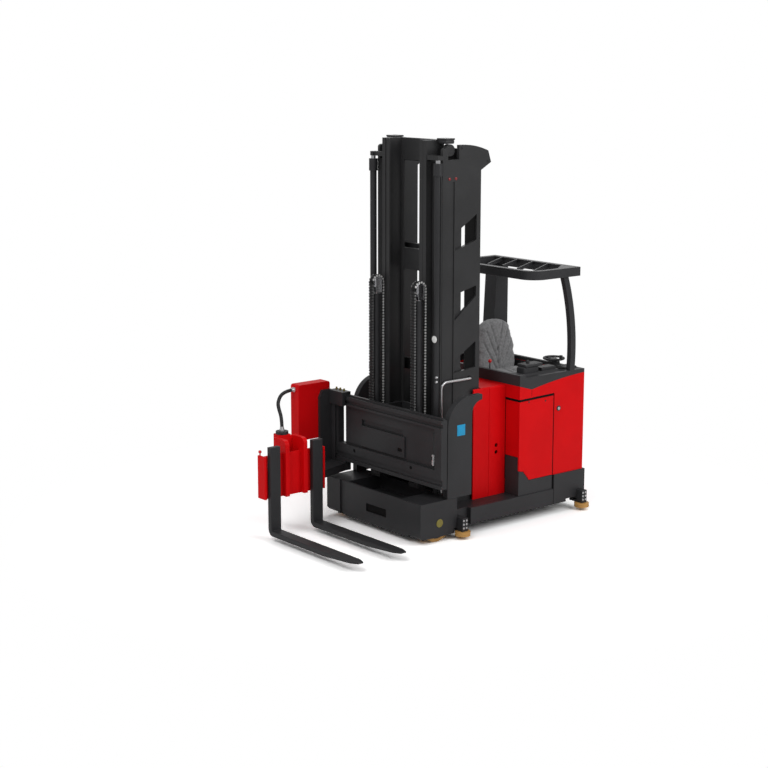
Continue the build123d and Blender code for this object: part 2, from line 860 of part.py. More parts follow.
# Cab floor and the black cowl that rims the cab, with the dash in front of the operator
dash_inner_x = cab_inner_x - dash_depth
console_x = (dash_inner_x + dash_slope, dash_inner_x + dash_slope + console_depth)
with BuildPart() as cab_floor:
    block(
        (-cab_inner_x, cab_inner_x),
        (cab_front_y + cab_wall, cab_back_y - cab_wall),
        (cab_floor_z - cab_floor_plate, cab_floor_z),
    )
save(cab_floor, "cab_floor")
with BuildPart() as cowl:
    block(
        (-cab_half_width, cab_half_width),
        (cab_front_y, cab_back_y),
        (cab_top_notch, cowl_rail_top),
    )
    block(
        (-cab_half_width, cab_half_width),
        (cab_front_y, cab_front_y + 2 * cab_wall),
        (cowl_rail_top, cowl_top),
    )
    block(
        (-cab_inner_x, cab_inner_x),
        (cab_front_y + cab_wall, cab_back_y - cab_wall),
        (cab_top_notch, cowl_top),
        Mode.SUBTRACT,
    )
    for side in (-1, 1):
        low_x = min(side * cab_half_width, side * cab_inner_x)
        extrude(cab_side_sketch(low_x, rear_skirt_top), amount=cab_wall, mode=Mode.SUBTRACT)
    block(
        (-cab_inner_x, cab_inner_x),
        (cab_front_y, cab_front_y + cab_wall),
        (cab_top_notch, cab_top_front),
        Mode.SUBTRACT,
    )
    block(
        (-cab_inner_x, cab_inner_x),
        (cab_back_y - cab_wall, cab_back_y),
        (cab_top_notch, cab_top_back),
        Mode.SUBTRACT,
    )
    shelf_x = post_x[0] - panel_gap
    front_profile(
        [
            (cab_inner_x, cab_top_notch),
            (cab_inner_x, cowl_rail_top),
            (shelf_x, cowl_rail_top),
            (shelf_x - dash_slope / 2, dash_top),
            (dash_inner_x + dash_slope, dash_top),
            (dash_inner_x, dash_top - dash_slope),
            (dash_inner_x, dash_top - 2 * dash_slope),
            (dash_inner_x + 2 * dash_slope, cab_top_notch),
        ],
        (cab_front_y + cab_wall, cab_back_y - cab_wall),
    )
    block(
        (console_x[0], console_x[1]),
        armrest_y,
        (dash_top, dash_top + armrest_height),
    )
    chamfer(cowl.edges().filter_by(Axis.Y).group_by(Axis.Z)[-1], armrest_height / 3)
save(cowl, "cowl")

# Seat, facing +X, on its pedestal
cushion_bottom = seat_cushion_top - seat_cushion_height
with BuildPart() as seat_pedestal:
    block(
        (seat_back_x, seat_back_x + 2 * pedestal_half),
        (seat_y - pedestal_half, seat_y + pedestal_half),
        (cab_floor_z, cushion_bottom - running_gap),
    )
save(seat_pedestal, "seat_pedestal")
with BuildPart() as seat_cushion:
    block(
        (seat_back_x, seat_front_x),
        (seat_y - seat_width / 2, seat_y + seat_width / 2),
        (cushion_bottom, seat_cushion_top),
    )
    fillet(seat_cushion.edges().filter_by(Axis.Z), seat_cushion_height / 2)
    chamfer(seat_cushion.faces().sort_by(Axis.Z)[-1].edges(), seat_cushion_height / 5)
save(seat_cushion, "seat_cushion")
with BuildPart() as seat_back:
    back_plane = Plane(
        origin=(seat_back_x - running_gap, seat_y, cushion_bottom),
        x_dir=(0, 1, 0),
        z_dir=(cos(radians(seat_lean)), 0, sin(radians(seat_lean))),
    )
    half_seat = seat_width / 2
    wing_z = seat_wing_height * seat_back_height
    shoulder_z = seat_shoulder_height * seat_back_height
    dome_z = seat_dome_height * seat_back_height
    with BuildSketch(back_plane) as back_outline:
        with BuildLine():
            foot = Line((-seat_foot_share * half_seat, 0), (seat_foot_share * half_seat, 0))
            shoulder = (seat_shoulder_share * half_seat, shoulder_z)
            wing = ThreePointArc(foot @ 1, (half_seat, wing_z), shoulder)
            flank = Line(wing @ 1, (seat_top_share * half_seat, dome_z))
            dome = ThreePointArc(flank @ 1, (0, seat_back_height), (-seat_top_share * half_seat, dome_z))
            far_flank = Line(dome @ 1, (-shoulder[0], shoulder_z))
            ThreePointArc(far_flank @ 1, (-half_seat, wing_z), foot @ 0)
        make_face()
    extrude(amount=-seat_back_depth)
save(seat_back, "seat_back")

# Steering stand and wheel, and the lever console on the other side
wheel_hub_bottom = wheel_z - wheel_hub_height
with BuildPart() as steering_stand:
    block(
        (wheel_x - stand_half, wheel_x + stand_half),
        (wheel_y - stand_half, wheel_y + stand_half),
        (cab_floor_z, wheel_hub_bottom - running_gap),
    )
save(steering_stand, "steering_stand")
with BuildPart() as steering_wheel:
    wheel_center = (wheel_x, wheel_y, wheel_z)
    with BuildSketch(Plane(origin=wheel_center, x_dir=(1, 0, 0), z_dir=(0, -1, 0))) as rim_section:
        with Locations((wheel_rim_radius, 0)):
            RegularPolygon(wheel_rim_thickness, 8)
    revolve(axis=Axis(wheel_center, (0, 0, 1)))
    upright(wheel_x, wheel_y, (wheel_hub_bottom, wheel_z), wheel_hub_radius)
    block(
        (wheel_x - wheel_rim_radius, wheel_x + wheel_rim_radius),
        (wheel_y - wheel_rim_thickness, wheel_y + wheel_rim_thickness),
        (wheel_z - wheel_rim_thickness, wheel_z),
    )
    upright(wheel_x + wheel_rim_radius, wheel_y, (wheel_z, wheel_z + wheel_knob_height), wheel_knob_radius)
save(steering_wheel, "steering_wheel")
with BuildPart() as lever_console:
    block(console_x, console_y, (dash_top, console_top))
    fillet(lever_console.edges().filter_by(Axis.Z), console_depth / 6)
    chamfer(lever_console.faces().sort_by(Axis.Z)[-1].edges(), console_depth / 10)
    lever_x = (console_x[0] + console_x[1]) / 2
    lever_y = (console_y[0] + console_y[1]) / 2
    upright(lever_x, lever_y, (console_top, lever_top), lever_radius)
    upright(lever_x, lever_y, (lever_top, lever_top + 2 * lever_ball), lever_ball)
    chamfer(lever_console.edges().group_by(Axis.Z)[-1], lever_ball / 2)
save(lever_console, "lever_console")

# Overhead guard: roof frame with slanting slats, one bent post and a wide column
# columns: front x, front y, back x, back y
slat_table = [
    (-33.0, 833.0, -363.0, 1364.0),
    (129.0, 864.0, -162.0, 1369.0),
    (363.0, 822.0, 34.0, 1374.0),
    (591.0, 782.0, 227.0, 1379.0),
]
with BuildPart() as overhead_guard:
    with BuildSketch(Plane.XY.offset(roof_bottom)) as roof_outline:
        with BuildLine():
            left = Line((roof_x[0], roof_y[1]), (roof_x[0], roof_y[0]))
            front = Line(left @ 1, (roof_x[1] - roof_corner, roof_y[0]))
            corner = RadiusArc(front @ 1, (roof_x[1], roof_y[0] + roof_corner), -roof_corner)
            right = Line(corner @ 1, (roof_x[1], roof_y[1]))
            Line(right @ 1, left @ 0)
        make_face()
        offset(amount=-roof_bar, mode=Mode.SUBTRACT)
    extrude(amount=roof_top - roof_bottom)
    for front_x, front_y, back_x, back_y in slat_table:
        plan_profile(
            [
                (front_x, front_y),
                (front_x + roof_slat, front_y),
                (back_x + roof_slat, back_y),
                (back_x, back_y),
            ],
            (roof_top - roof_slat_height, roof_top),
        )
    block(roof_x, roof_y, (roof_bottom, roof_top), Mode.INTERSECT)
    plan_profile(
        [
            (roof_x[1], roof_y[1] - roof_gusset_y),
            (roof_x[1], roof_y[1]),
            (roof_x[1] - roof_gusset_x, roof_y[1]),
        ],
        (roof_top - 2 * roof_slat, roof_top),
    )
save(overhead_guard, "overhead_guard")
with BuildPart() as guard_post:
    half_post = post_width / 2
    with BuildSketch(Plane.YZ.offset(post_x[0])) as post_outline:
        with BuildLine():
            base = Line((post_base_y - half_post, cowl_rail_top), (post_base_y + half_post, cowl_rail_top))
            rear_knee = (post_base_y + half_post, post_knee_z)
            rear = ThreePointArc(base @ 1, rear_knee, (post_top_y + half_post, roof_bottom))
            head = Line(rear @ 1, (post_top_y - half_post, roof_bottom))
            ThreePointArc(head @ 1, (post_base_y - half_post, post_knee_z), base @ 0)
        make_face()
    extrude(amount=post_thickness)
save(guard_post, "guard_post")
with BuildPart() as guard_column:
    side_profile(
        [
            (column_base_y, cab_floor_z),
            (column_back_y, cab_floor_z),
            (column_back_y, roof_bottom),
            (column_top_y, roof_bottom),
        ],
        column_x,
    )
save(guard_column, "guard_column")

# Outer mast: side plates with slanting openings, channel flanges and rear crossbars
# columns: lower and upper edge of an opening at its front, then at its back, as shares of the mast's height
mast_openings = [
    (0.7346, 0.7774, 0.7567, 0.8230),
    (0.5540, 0.6209, 0.6119, 0.6392),
    (0.4181, 0.4499, 0.4256, 0.4940),
]
# columns: lower and upper edge, as shares of the mast's height
outer_crossbars = [(0.951, 0.990), (0.699, 0.735), (0.396, 0.426), (0.030, 0.090)]
outer_bar_y = mast_rail_back_y + crossbar_depth + motion_gap


def opening_corners(shares, places):
    """Corners of a slanting opening between two places along the plate."""
    low_front, high_front, low_back, high_back = (share * head_crown for share in shares)
    low_edge = []
    high_edge = []
    for place in places:
        share = (place - opening_y[0]) / (opening_y[1] - opening_y[0])
        low_edge.append((place, low_front + share * (low_back - low_front)))
        high_edge.append((place, high_front + share * (high_back - high_front)))
    return low_edge + high_edge[::-1]


with BuildPart() as mast_outer:
    for side in (-1, 1):
        plate_x = (side * mast_inner_x, side * mast_half_width)
        with BuildSketch(Plane.YZ.offset(min(plate_x))) as plate_outline:
            with BuildLine():
                foot = Line((mast_front_y, mast_bottom), (mast_back_y, mast_bottom))
                back = Line(foot @ 1, (mast_back_y, head_crown - nose_low_drop))
                under = Line(back @ 1, (nose_y, head_crown - nose_tip_drop))
                tip = Line(under @ 1, (nose_shoulder_y, head_crown - nose_shoulder_drop))
                crown_middle = (crown_middle_y, head_crown - crown_middle_drop)
                crown = ThreePointArc(tip @ 1, crown_middle, (head_notch_y[1], head_crown))
                brow = Line(crown @ 1, (mast_front_y, head_crown - brow_drop))
                Line(brow @ 1, foot @ 0)
            make_face()
            fillet(plate_outline.vertices().sort_by(Axis.Y)[-2:], nose_round)
        extrude(amount=mast_plate)
        block(plate_x, head_notch_y, (head_crown - notch_depth, head_crown + mast_plate), Mode.SUBTRACT)
        for shares in mast_openings:
            recess_x = (side * (mast_half_width - mast_recess), side * mast_half_width)
            side_profile(opening_corners(shares, opening_y), recess_x, Mode.SUBTRACT)
            side_profile(opening_corners(shares, opening_slot_y), plate_x, Mode.SUBTRACT)
        block(
            (side * (mast_half_width - groove_depth), side * mast_half_width),
            groove_y,
            (mast_bottom, head_bottom),
            Mode.SUBTRACT,
        )
        for flange_y in (mast_front_y, mast_rail_back_y - mast_flange):
            block(
                (side * mast_flange_inner_x, side * mast_inner_x),
                (flange_y, flange_y + mast_flange),
                (mast_bottom, mast_flange_top),
            )
    for low_share, high_share in outer_crossbars:
        block(
            (-mast_inner_x, mast_inner_x),
            (outer_bar_y, outer_bar_y + 3 * crossbar_depth),
            (low_share * head_crown, high_share * head_crown),
        )
    shaft(
        (mast_inner_x, mast_half_width),
        pipe_hole_y,
        pipe_hole_z,
        pipe_radius + running_gap,
        Mode.SUBTRACT,
    )
save(mast_outer, "mast_outer")


def stage_rails(outer_x, inner_x, front_y, back_y, bottom_z):
    """A pair of channel rails, open inwards."""
    for side in (-1, 1):
        block((side * (outer_x - stage_flange), side * outer_x), (front_y, back_y), (bottom_z, stage_top))
        for flange_y in (front_y, back_y - stage_flange):
            block(
                (side * inner_x, side * outer_x),
                (flange_y, flange_y + stage_flange),
                (bottom_z, stage_top),
            )


def stage_rollers(web_x, reach_x, roller_y, heights, channel):
    """Rollers on a rail's outside that run in a channel of the stage around it."""
    for side in (-1, 1):
        for roller_z in heights:
            shaft((side * web_x, side * reach_x), roller_y, roller_z, channel / 2 - running_gap)


# Heights of the bars that tie each moving stage's rails together
middle_bar_top = stage_top - middle_bar_drop
stage_bars = [(stage_top - top_bar, stage_top), (middle_bar_top - middle_bar, middle_bar_top)]

# Middle mast, with the brackets that the main rods push
outer_channel = mast_rail_depth - 2 * mast_flange
sheave_z = stage_top - hose_sheave_drop
with BuildPart() as mast_middle:
    stage_rails(middle_outer_x, middle_inner_x, middle_front_y, middle_back_y, stage_bottom)
    stage_rollers(
        middle_outer_x,
        mast_inner_x - roller_stub,
        rail_middle_y,
        [stage_bottom + height for height in stage_roller_z],
        outer_channel,
    )
    for low_z, high_z in stage_bars + [(stage_bottom, stage_bottom + low_bar)]:
        block(
            (-middle_outer_x, middle_outer_x),
            (middle_back_y, middle_back_y + crossbar_depth),
            (low_z, high_z),
        )
    yoke_back_y = mast_front_y - motion_gap / 2
    yoke_z = (yoke_bottom, yoke_bottom + yoke_height)
    for side in (-1, 1):
        block(
            (side * (middle_outer_x - stage_flange), side * (main_x + main_rod_radius)),
            (stage_front_y + motion_gap / 2, yoke_back_y),
            yoke_z,
        )
        block(
            (side * (main_x - main_rod_radius), side * (main_x + main_rod_radius)),
            (main_y - main_rod_radius, yoke_back_y),
            yoke_z,
        )
        sheave_outer_x = mast_inner_x - roller_stub
        sheave_x = (side * (sheave_outer_x - hose_sheave_width), side * sheave_outer_x)
        shaft(sheave_x, hose_sheave_y, sheave_z, hose_sheave_radius)
        shaft((side * middle_outer_x, sheave_x[0]), hose_sheave_y, sheave_z, roller_pin_radius)
        block(
            (side * (middle_outer_x - stage_flange), sheave_x[1]),
            (hose_sheave_y - hose_sheave_radius, hose_sheave_y + hose_sheave_radius),
            (stage_top, stage_top + sheave_cover),
        )
save(mast_middle, "mast_middle")

# Inner mast, with the feet that carry the free-lift cylinders
middle_channel = middle_back_y - middle_front_y - 2 * stage_flange
inner_bottom = stage_bottom + motion_gap
with BuildPart() as mast_inner:
    stage_rails(inner_outer_x, inner_inner_x, inner_front_y, inner_back_y, inner_bottom)
    stage_rollers(
        inner_outer_x,
        middle_outer_x - stage_flange - roller_stub,
        stage_middle_y,
        [inner_bottom + height for height in stage_roller_z],
        middle_channel,
    )
    for low_z, high_z in stage_bars + [(inner_bottom, inner_bottom + low_bar)]:
        block(
            (-inner_inner_x, inner_inner_x),
            (inner_back_y - crossbar_depth, inner_back_y),
            (low_z, high_z),
        )
    for side in (-1, 1):
        foot_z = (free_bottom - free_foot, free_bottom)
        block(
            (side * inner_inner_x, side * (inner_outer_x - 4)),
            (free_y - free_radius, inner_front_y),
            foot_z,
        )
        block(
            (side * inner_inner_x, side * (free_x + free_radius)),
            (free_y - free_radius, free_y + free_radius),
            foot_z,
        )
save(mast_inner, "mast_inner")

# Main lift cylinders stand on the axle beam and lift the middle mast
with BuildPart() as main_barrels:
    for side in (-1, 1):
        upright(side * main_x, main_y, (beam_top, main_gland_bottom), main_radius)
        upright(side * main_x, main_y, (main_gland_bottom, main_gland_top), main_gland_radius)
        upright(
            side * main_x,
            main_y,
            (beam_top + main_wall, main_gland_bottom),
            main_rod_radius + bore_play,
            Mode.SUBTRACT,
        )
        upright(
            side * main_x,
            main_y,
            (main_gland_bottom, main_gland_top),
            main_rod_radius + running_gap,
            Mode.SUBTRACT,
        )
save(main_barrels, "main_barrels")
with BuildPart() as main_rods:
    for side in (-1, 1):
        upright(side * main_x, main_y, (beam_top + 4 * main_wall, yoke_bottom), main_rod_radius)
save(main_rods, "main_rods")

# Free-lift cylinders on the inner mast, each with a chain pulley on its rod
with BuildPart() as free_barrels:
    for side in (-1, 1):
        upright(side * free_x, free_y, (free_bottom, free_top), free_radius)
        upright(
            side * free_x,
            free_y,
            (free_bottom + free_wall, free_top - free_gland),
            free_rod_radius + bore_play,
            Mode.SUBTRACT,
        )
        upright(
            side * free_x,
            free_y,
            (free_top - free_gland, free_top),
            free_rod_radius + running_gap,
            Mode.SUBTRACT,
        )
        block(
            (side * free_x - chain_width / 2, side * free_x + chain_width / 2),
            (free_y + free_rod_radius + bore_play + free_wall / 2, chain_back_y + chain_thickness / 2),
            (chain_anchor_z - chain_anchor_height, chain_anchor_z - running_gap),
        )
save(free_barrels, "free_barrels")
pulley_radius = pulley_pitch_radius - chain_thickness / 2
with BuildPart() as free_rods:
    for side in (-1, 1):
        fork_base_z = pulley_z - pulley_radius - motion_gap
        upright(side * free_x, free_y, (free_bottom + 3 * free_wall, fork_base_z), free_rod_radius)
        cheek_out = pulley_width / 2 + pulley_cheek
        block(
            (side * free_x - cheek_out, side * free_x + cheek_out),
            (free_y - free_radius, free_y + free_radius),
            (free_top + motion_gap, fork_base_z),
        )
        for cheek in (-1, 1):
            cheek_x = (side * free_x + cheek * pulley_width / 2, side * free_x + cheek * cheek_out)
            block(
                cheek_x,
                (free_y - free_radius, free_y + free_radius),
                (fork_base_z, pulley_z + free_radius),
            )
        shaft(
            (side * free_x - cheek_out, side * free_x + cheek_out),
            free_y,
            pulley_z,
            free_rod_radius,
        )
        shaft(
            (side * free_x - pulley_width / 2, side * free_x + pulley_width / 2),
            free_y,
            pulley_z,
            pulley_radius,
        )
save(free_rods, "free_rods")


def chain_strand(x, y, z):
    """Leaf chain: a strip whose edges step in to a waist between the plates of each link."""
    link_count = int((z[1] - z[0]) / chain_pitch)
    edge = []
    for link in range(link_count):
        link_z = z[0] + link * chain_pitch
        edge.append((chain_width / 2, link_z))
        edge.append((chain_width / 2, link_z + chain_plate_length))
        edge.append((chain_waist / 2, link_z + chain_plate_length))
        edge.append((chain_waist / 2, link_z + chain_pitch))
    edge.append((chain_waist / 2, z[1]))
    right_edge = [(x + half, height) for half, height in edge]
    left_edge = [(x - half, height) for half, height in reversed(edge)]
    front_profile(right_edge + left_edge, (y - chain_thickness / 2, y + chain_thickness / 2))


with BuildPart() as chain_fronts:
    for side in (-1, 1):
        chain_strand(side * free_x, chain_front_y, (chain_anchor_z, pulley_z))
save(chain_fronts, "chain_fronts")
with BuildPart() as chain_returns:
    for side in (-1, 1):
        x_limits = (side * free_x - chain_waist / 2, side * free_x + chain_waist / 2)
        shaft(x_limits, free_y, pulley_z, pulley_pitch_radius + chain_thickness / 2)
        shaft(x_limits, free_y, pulley_z, pulley_radius, Mode.SUBTRACT)
        block(
            (side * free_x - pulley_width, side * free_x + pulley_width),
            (free_y - 2 * pulley_pitch_radius, free_y + 2 * pulley_pitch_radius),
            (pulley_z - 2 * pulley_pitch_radius, pulley_z),
            Mode.SUBTRACT,
        )
        chain_strand(side * free_x, chain_back_y, (chain_anchor_z, pulley_z))
save(chain_returns, "chain_returns")

# Steel pipe up the mast's side and in through the plate
with BuildPart() as lift_pipe:
    with BuildLine() as pipe_path:
        FilletPolyline(
            (pipe_x, pipe_front_y, beam_top),
            (pipe_x, pipe_front_y, pipe_hole_z),
            (pipe_x, pipe_hole_y, pipe_hole_z),
            radius=pipe_bend,
        )
    with BuildSketch(Plane.XY.offset(beam_top)) as pipe_section:
        with Locations((pipe_x, pipe_front_y)):
            Circle(pipe_radius)
    sweep()
    shaft((mast_half_width - mast_plate, pipe_x), pipe_hole_y, pipe_hole_z, pipe_radius)
    with Locations((pipe_x, pipe_hole_y, pipe_hole_z)):
        Sphere(pipe_radius)
save(lift_pipe, "lift_pipe")

# Lift carriage in the inner mast
inner_channel = inner_back_y - inner_front_y - 2 * stage_flange
with BuildPart() as lift_carriage:
    for side in (-1, 1):
        block(
            (side * (carriage_outer_x - carriage_plate), side * carriage_outer_x),
            (frame_back_y, carriage_back_y),
            carriage_z,
        )
        for roller_z in (carriage_z[0] + inner_channel / 2, carriage_z[1] - inner_channel / 2):
            shaft(
                (side * carriage_outer_x, side * (inner_outer_x - stage_flange - roller_stub)),
                stage_middle_y,
                roller_z,
                inner_channel / 2 - running_gap,
            )
        block(
            (side * (free_x - chain_width), side * (free_x + chain_width)),
            (frame_back_y, chain_front_y + chain_thickness),
            (chain_anchor_z - chain_anchor_height, chain_anchor_z),
        )
        block(
            (side * (carriage_outer_x - carriage_plate), side * (free_x + chain_width)),
            (frame_back_y, frame_back_y + carriage_plate / 2),
            (chain_anchor_z - 2 * chain_anchor_height, chain_anchor_z),
        )
    block(
        (-carriage_outer_x, carriage_outer_x),
        (carriage_back_y - carriage_plate, carriage_back_y),
        (carriage_z[0], carriage_z[0] + 3 * carriage_plate),
    )
    block(
        (-carriage_outer_x, carriage_outer_x),
        (carriage_back_y - carriage_plate, carriage_back_y),
        (carriage_z[1] - 3 * carriage_plate, carriage_z[1]),
    )
save(lift_carriage, "lift_carriage")

# Traverse frame across the truck
frame_middle_y = (frame_front_y + frame_back_y) / 2
guide_bar = (frame_middle_y - guide_bar_width / 2, frame_middle_y + guide_bar_width / 2)
with BuildPart() as traverse_frame:
    block(
        (-frame_half_width, frame_half_width),
        (frame_front_y, frame_back_y),
        (frame_bottom, frame_top),
    )
    window_z = (frame_bottom + frame_low_rail, frame_top - frame_top_rail)
    plate_left_x = -frame_half_width + frame_end + frame_gap
    block(
        (-frame_half_width + frame_end, frame_half_width - frame_end),
        (frame_front_y, frame_back_y - frame_plate),
        window_z,
        Mode.SUBTRACT,
    )
    block(
        (-frame_half_width + frame_end, plate_left_x),
        (frame_front_y, frame_back_y),
        window_z,
        Mode.SUBTRACT,
    )
    block(
        (-frame_half_width, frame_half_width),
        guide_bar,
        (frame_top, frame_top + guide_bar_height),
    )
    # columns: lower and upper edge of a groove along the frame
    frame_grooves = [
        (frame_bottom + 2 * frame_groove, frame_bottom + 5 * frame_groove),
        (frame_top - 4 * frame_groove, frame_top - 2 * frame_groove),
    ]
    for low_z, high_z in frame_grooves:
        block(
            (-frame_half_width, frame_half_width),
            (frame_front_y, frame_front_y + frame_groove),
            (low_z, high_z),
            Mode.SUBTRACT,
        )
    web_front_y = frame_back_y - frame_plate
    block(cover_x, (web_front_y - cover_thickness, web_front_y), cover_z)
    block(
        (cover_x[0], cover_x[1] - cover_hole_length / 2),
        (web_front_y, web_front_y + cover_pocket_depth),
        (cover_z[1], cover_z[1] + cover_pocket_height),
        Mode.SUBTRACT,
    )
    with BuildSketch(Plane.XZ.offset(-web_front_y + cover_thickness)) as cover_hole:
        with Locations((cover_x[1] - cover_hole_length, cover_z[0] + cover_hole_length)):
            SlotOverall(cover_hole_length, cover_hole_length / 2)
    extrude(amount=-cover_thickness, mode=Mode.SUBTRACT)
    block(anchor_slot_x, (frame_front_y, frame_back_y), anchor_slot_z, Mode.SUBTRACT)
    hole_z = (frame_grooves[0][1] + window_z[0]) / 2
    with BuildSketch(Plane.XZ.offset(-frame_front_y)) as frame_holes:
        with Locations((frame_hole_x[0], hole_z), (frame_hole_x[1], hole_z)):
            Circle(frame_hole_radius)
    extrude(amount=frame_front_y - frame_back_y, mode=Mode.SUBTRACT)
save(traverse_frame, "traverse_frame")

# Traverse carriage: shoe on the top bar, post, lower shoe and the arm to the turret pivot
slider_bottom = frame_top + running_gap
slider_top = slider_bottom + slider_thickness
front_plate_y = frame_front_y - motion_gap
with BuildPart() as traverse_carriage:
    block(slider_x, (front_plate_y, frame_back_y - motion_gap), (slider_bottom, slider_top))
    block(
        slider_x,
        (guide_bar[0] - running_gap, guide_bar[1] + running_gap),
        (slider_bottom, frame_top + guide_bar_height + running_gap),
        Mode.SUBTRACT,
    )
    block(
        (post_plate_x[0], slider_x[1]),
        (front_plate_y - 3 * motion_gap, front_plate_y),
        (frame_top - frame_top_rail, slider_top),
    )
    side_profile(
        [
            (post_plate_front_y, arm_bottom),
            (front_plate_y, arm_bottom),
            (front_plate_y, post_plate_top),
            (post_plate_front_y + post_cut, post_plate_top),
            (post_plate_front_y, post_plate_top - 2 * post_cut),
        ],
        post_plate_x,
    )
    block(slider_x, (front_plate_y, frame_back_y - motion_gap), (arm_bottom, frame_bottom - running_gap))
    plan_profile(
        [
            (post_plate_x[0], front_plate_y),
            (post_plate_x[0], post_plate_front_y),
            (travel_start_x - arm_half_width, pivot_y + arm_neck),
            (travel_start_x - arm_half_width, pivot_y),
            (travel_start_x + arm_half_width, pivot_y),
            (travel_start_x + arm_half_width, pivot_y + arm_neck),
            (slider_x[1], front_plate_y),
        ],
        (arm_bottom, arm_top),
    )
    upright(travel_start_x, pivot_y, (arm_bottom, rotor_bottom - running_gap), arm_half_width)
    upright(travel_start_x, pivot_y, (arm_bottom, rotor_top + running_gap), pivot_pin_radius)
    upright(
        travel_start_x,
        pivot_y,
        (rotor_top + running_gap, rotor_top + pivot_cap_height),
        pivot_cap_radius,
    )
save(traverse_carriage, "traverse_carriage")
with BuildPart() as head_housing:
    block(housing_x, housing_y, housing_z)
    fillet(head_housing.edges().filter_by(Axis.X), housing_edge)
save(head_housing, "head_housing")

# Turret: square rotor round the pivot pin, two tall ribs and the fork carriage
shank_face_x = fork_carriage_x[1] + fork_thickness
rib_top = rotor_top - rib_drop
with BuildPart() as turret_rotor:
    rotor_x = (travel_start_x - rotor_half, travel_start_x + rotor_half)
    block(rotor_x, (pivot_y - rotor_half, pivot_y + rotor_half), (rotor_bottom, rotor_top))
    chamfer(turret_rotor.edges().filter_by(Axis.Z), rotor_edge)
    web_x = (rotor_x[1] - rib_web, rotor_x[1])
    web_half = rib_spacing + rib_thickness / 2
    block(web_x, (pivot_y - web_half, pivot_y + web_half), (rotor_bottom, rib_top))
    for place in (-1, 1):
        rib_y = pivot_y + place * rib_spacing
        block(
            (web_x[1], fork_carriage_x[0]),
            (rib_y - rib_thickness / 2, rib_y + rib_thickness / 2),
            (rotor_bottom, rib_top),
        )
    upright(
        travel_start_x,
        pivot_y,
        (rotor_bottom, rotor_top),
        pivot_pin_radius + running_gap,
        Mode.SUBTRACT,
    )
save(turret_rotor, "turret_rotor")
with BuildPart() as fork_carriage:
    carriage_span = (pivot_y - fork_carriage_half, pivot_y + fork_carriage_half)
    block(fork_carriage_x, carriage_span, fork_carriage_z)
    for side in (-1, 1):
        end_y = pivot_y + side * fork_carriage_half
        ear_inner_y = end_y - side * ear_thickness
        block(ear_x, (end_y, ear_inner_y), fork_carriage_z)
        block(fork_carriage_x, (ear_inner_y, ear_inner_y - side * ear_slot_width), ear_slot_z, Mode.SUBTRACT)
    for place in (-1, 1):
        rib_y = pivot_y + place * rib_spacing
        with BuildSketch(Plane.XZ.offset(-rib_y - rib_thickness / 2)) as rib_outline:
            with BuildLine():
                back = Line((fork_carriage_x[0], fork_carriage_z[0]), (fork_carriage_x[0], rib_top))
                top = Line(back @ 1, (shank_face_x - rib_corner, rib_top))
                brow = RadiusArc(top @ 1, (shank_face_x, rib_top - rib_corner), rib_corner)
                face = Line(brow @ 1, (shank_face_x, fork_carriage_z[0]))
                Line(face @ 1, back @ 0)
            make_face()
        extrude(amount=rib_thickness)
save(fork_carriage, "fork_carriage")

# Forks: a bent bar with a tapered blade, hooked on the fork carriage
with BuildPart() as forks:
    shank_back_x = fork_carriage_x[1]
    fork_tip_x = shank_face_x + fork_blade
    blade_bottom = fork_top - fork_thickness
    for side in (-1, 1):
        fork_y = pivot_y + side * fork_spacing / 2
        with BuildSketch(Plane.XZ.offset(-fork_y - fork_width / 2)) as fork_outline:
            with BuildLine():
                face = Line((shank_face_x, fork_shank_top), (shank_face_x, fork_top))
                top = Line(face @ 1, (fork_tip_x, fork_top))
                tip = Line(top @ 1, (fork_tip_x, fork_top - fork_tip_thickness))
                under = Line(tip @ 1, (fork_tip_x - fork_taper, blade_bottom))
                floor_run = Line(under @ 1, (shank_back_x + fork_heel_radius, blade_bottom))
                heel_end = (shank_back_x, blade_bottom + fork_heel_radius)
                heel = RadiusArc(floor_run @ 1, heel_end, fork_heel_radius)
                back = Line(heel @ 1, (shank_back_x, fork_shank_top))
                Line(back @ 1, face @ 0)
            make_face()
        extrude(amount=fork_width)
        for edge in (-1, 1):
            edge_y = fork_y + edge * fork_width / 2
            plan_profile(
                [
                    (fork_tip_x, edge_y),
                    (fork_tip_x - 3 * fork_tip_cut, edge_y),
                    (fork_tip_x, edge_y - edge * fork_tip_cut),
                ],
                (blade_bottom, fork_top),
                Mode.SUBTRACT,
            )
save(forks, "forks")

# Hydraulic hose from the housing to the pivot cap
hose_exit = (-828.0, housing_y[0], 1150.0)
hose_end_z = rotor_top + pivot_cap_height
hose_route = [
    hose_exit,
    (-828.0, housing_y[0] - 70.0, 1150.0),
    (-800.0, housing_y[0] - 170.0, 1130.0),
    (-720.0, housing_y[0] - 260.0, 1085.0),
    (-610.0, housing_y[0] - 330.0, 1060.0),
    (travel_start_x, pivot_y, 1000.0),
    (travel_start_x, pivot_y, hose_end_z),
]


def route_radii(points):
    """The largest arc that each corner of a route leaves room for."""
    radii = []
    for before, corner, after in zip(points, points[1:], points[2:]):
        run_in = Vector(*corner) - Vector(*before)
        run_out = Vector(*after) - Vector(*corner)
        half_turn = radians(run_in.get_angle(run_out)) / 2
        radii.append(0.45 * min(run_in.length, run_out.length) * cos(half_turn) / sin(half_turn))
    return radii


hose_radii = route_radii(hose_route)
with BuildPart() as hydraulic_hose:
    with BuildLine() as hose_path:
        FilletPolyline(*hose_route, radius=hose_radii)
    with BuildSketch(Plane(origin=hose_exit, z_dir=(0, -1, 0))) as hose_section:
        Circle(hose_radius)
    sweep()
save(hydraulic_hose, "hydraulic_hose")
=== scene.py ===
"""Studio scene of the turret truck: finishes on the nodes, leaf chains, hose, seat and small fittings.

Everything is in metres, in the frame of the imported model: +Z up, forks' end towards -Y, operator facing +X.
"""

import json
import math

